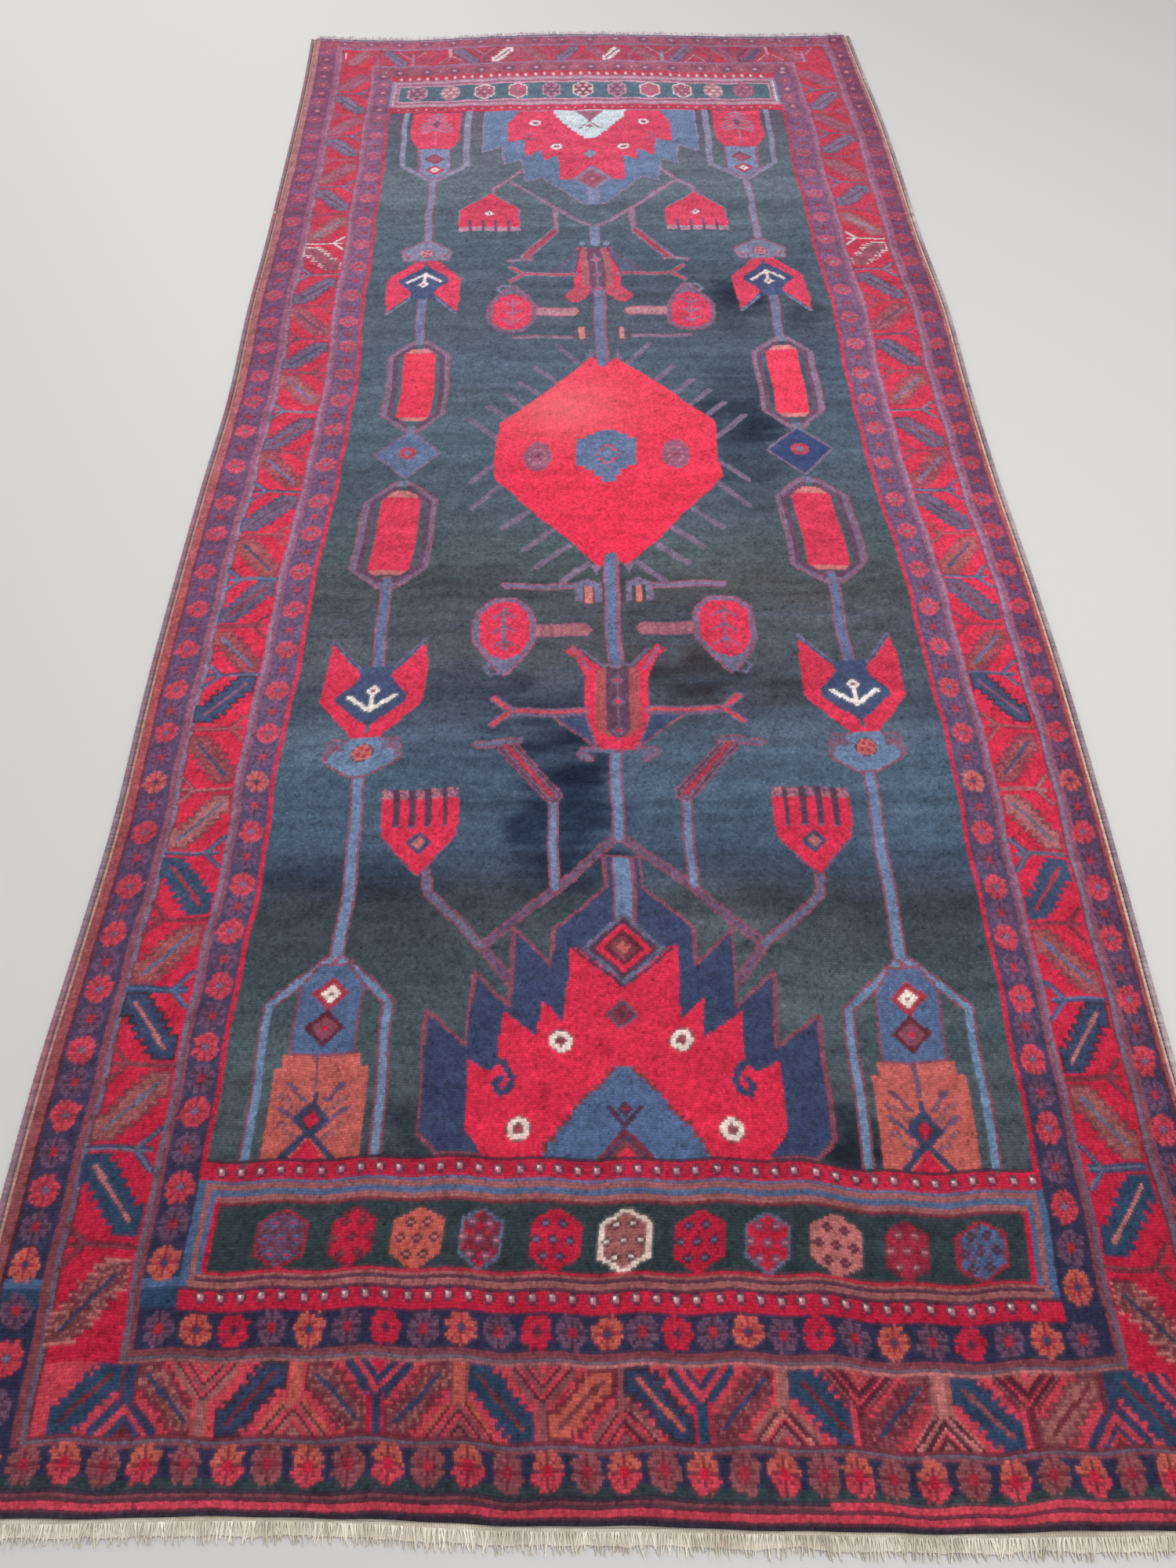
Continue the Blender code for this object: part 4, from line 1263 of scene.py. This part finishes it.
curl = step(lock, "ShaderNodeTexNoise", curl, "Color", noise_dimensions="4D")
curl = step(lock, "ShaderNodeVectorMath", {0: curl, 1: (0.5, 0.5, 0.5)}, operation="SUBTRACT")
curl = step(lock, "ShaderNodeVectorMath", {0: curl, 1: (2, 1.4, 0)}, operation="MULTIPLY")
pull = {0: curl, "Scale": sums(lock, "MULTIPLY", share, given["Wander"])}
moved = step(lock, "ShaderNodeVectorMath", pull, operation="SCALE")
bed = sums(lock, "MULTIPLY", own, 0.0016)
bed = sums(lock, "MULTIPLY", bed, sums(lock, "SUBTRACT", 1.0, share))
bed = sums(lock, "SUBTRACT", bed, sums(lock, "MULTIPLY", share, given["Drop"]))
raised = step(lock, "ShaderNodeCombineXYZ", {"Z": bed})
moved = step(lock, "ShaderNodeVectorMath", {0: moved, 1: raised}, operation="ADD")
strands = step(lock, "GeometryNodeSetPosition", {"Geometry": strands, "Offset": moved})
ring = step(lock, "GeometryNodeCurvePrimitiveCircle", {"Resolution": 4, "Radius": given["Thickness"]})
thin = sums(lock, "SUBTRACT", 1.0, sums(lock, "MULTIPLY", share, 0.45))
body = {"Curve": strands, "Profile Curve": ring, "Scale": thin, "Fill Caps": True}
finished(lock, step(lock, "GeometryNodeCurveToMesh", body), given["Finish"])


def ravelled(name, colours):
    """Loose cotton, soiled in patches and stained here and there by the red wool."""
    finish, tree, skin, place = finish_of(name, 0.9, 0.15)
    own = step(tree, "ShaderNodeAttribute", None, "Fac", attribute_name="strand")
    soiled = shades(tree, noise(tree, place, 22.0, 4.0), (0.26, 0.36, 0.6), colours)
    tone = sums(tree, "MULTIPLY_ADD", own, 0.45, 0.82)
    dress(tree, skin, soiled, tone, noise(tree, place, 1100.0, 2.0), 0.5, 0.0008)
    return finish


for name, edge, way, width, root, high, shortest, longest, wander, colours in ENDS:
    weave = end_strip(name + "_weave", edge, way, width)
    weave.data.materials.append(cotton)
    x = np.linspace(edge[:, 0].min() + 0.004, edge[:, 0].max() - 0.004, 120)
    points = np.stack([x, edge_y(edge, x) + way * root, np.full(120, high)], -1)
    values = {
        "Strands": 780,
        "Outward": (0.0, float(way), 0.0),
        "Shortest": shortest,
        "Longest": longest,
        "Lean": 0.3,
        "Wander": wander,
        "Drop": high - 0.0012,
        "Thickness": 0.0011,
        "Finish": ravelled(name + "_fringe cotton", colours),
    }
    fringe = grown(name + "_fringe", points, lock, values)
    for piece in (weave, fringe):
        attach(piece, "root")
        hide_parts("end_near" if way < 0 else "end_far")

# The floor under it, plain and pale, and the light of a bright room with one large window. These
# are for the pictures only and are no part of the rug.
floor_mesh = bpy.data.meshes.new("floor")
corners = [(-9, -9, -0.0004), (9, -9, -0.0004), (9, 9, -0.0004), (-9, 9, -0.0004)]
floor_mesh.from_pydata(corners, [], [(0, 1, 2, 3)])
floor = put("floor", floor_mesh)
floor_finish = bpy.data.materials.new("pale floor")
floor_finish.use_nodes = True
floor_skin = floor_finish.node_tree.nodes["Principled BSDF"]
floor_skin.inputs["Base Color"].default_value = (0.62, 0.6, 0.58, 1)
floor_skin.inputs["Roughness"].default_value = 0.6
floor_mesh.materials.append(floor_finish)

for name, spot, aim, across, power in (
    ("window light", (-1.6, 3.6, 2.6), (0.0, 0.3, 0.0), 2.6, 70.0),
    ("room light", (0.8, -0.6, 3.4), (0.0, 0.0, 0.0), 3.2, 95.0),
):
    lamp = bpy.data.lights.new(name, "AREA")
    lamp.size, lamp.energy = across, power
    lamp_object = put(name, lamp)
    lamp_object.location = spot
    lamp_object.rotation_euler = (Vector(aim) - Vector(spot)).to_track_quat("-Z", "Y").to_euler()
world = bpy.data.worlds.new("room")
world.use_nodes = True
sky = world.node_tree.nodes["Background"]
sky.inputs["Color"].default_value = (0.93, 0.95, 1.0, 1)
sky.inputs["Strength"].default_value = 0.45
bpy.context.scene.world = world
bpy.context.scene.view_settings.view_transform = "Standard"

# A person's view of it, standing at the near end and looking along it, with the camera held at
# chest height.
view = bpy.data.cameras.new("view")
view.sensor_fit, view.sensor_height, view.lens = "VERTICAL", 24.0, 18.0
camera = put("view", view)
camera.location = (-0.0514, -1.813, 1.459)
camera.rotation_euler = (math.radians(90 - 54.72), 0.0, math.radians(-1.06))
bpy.context.scene.camera = camera
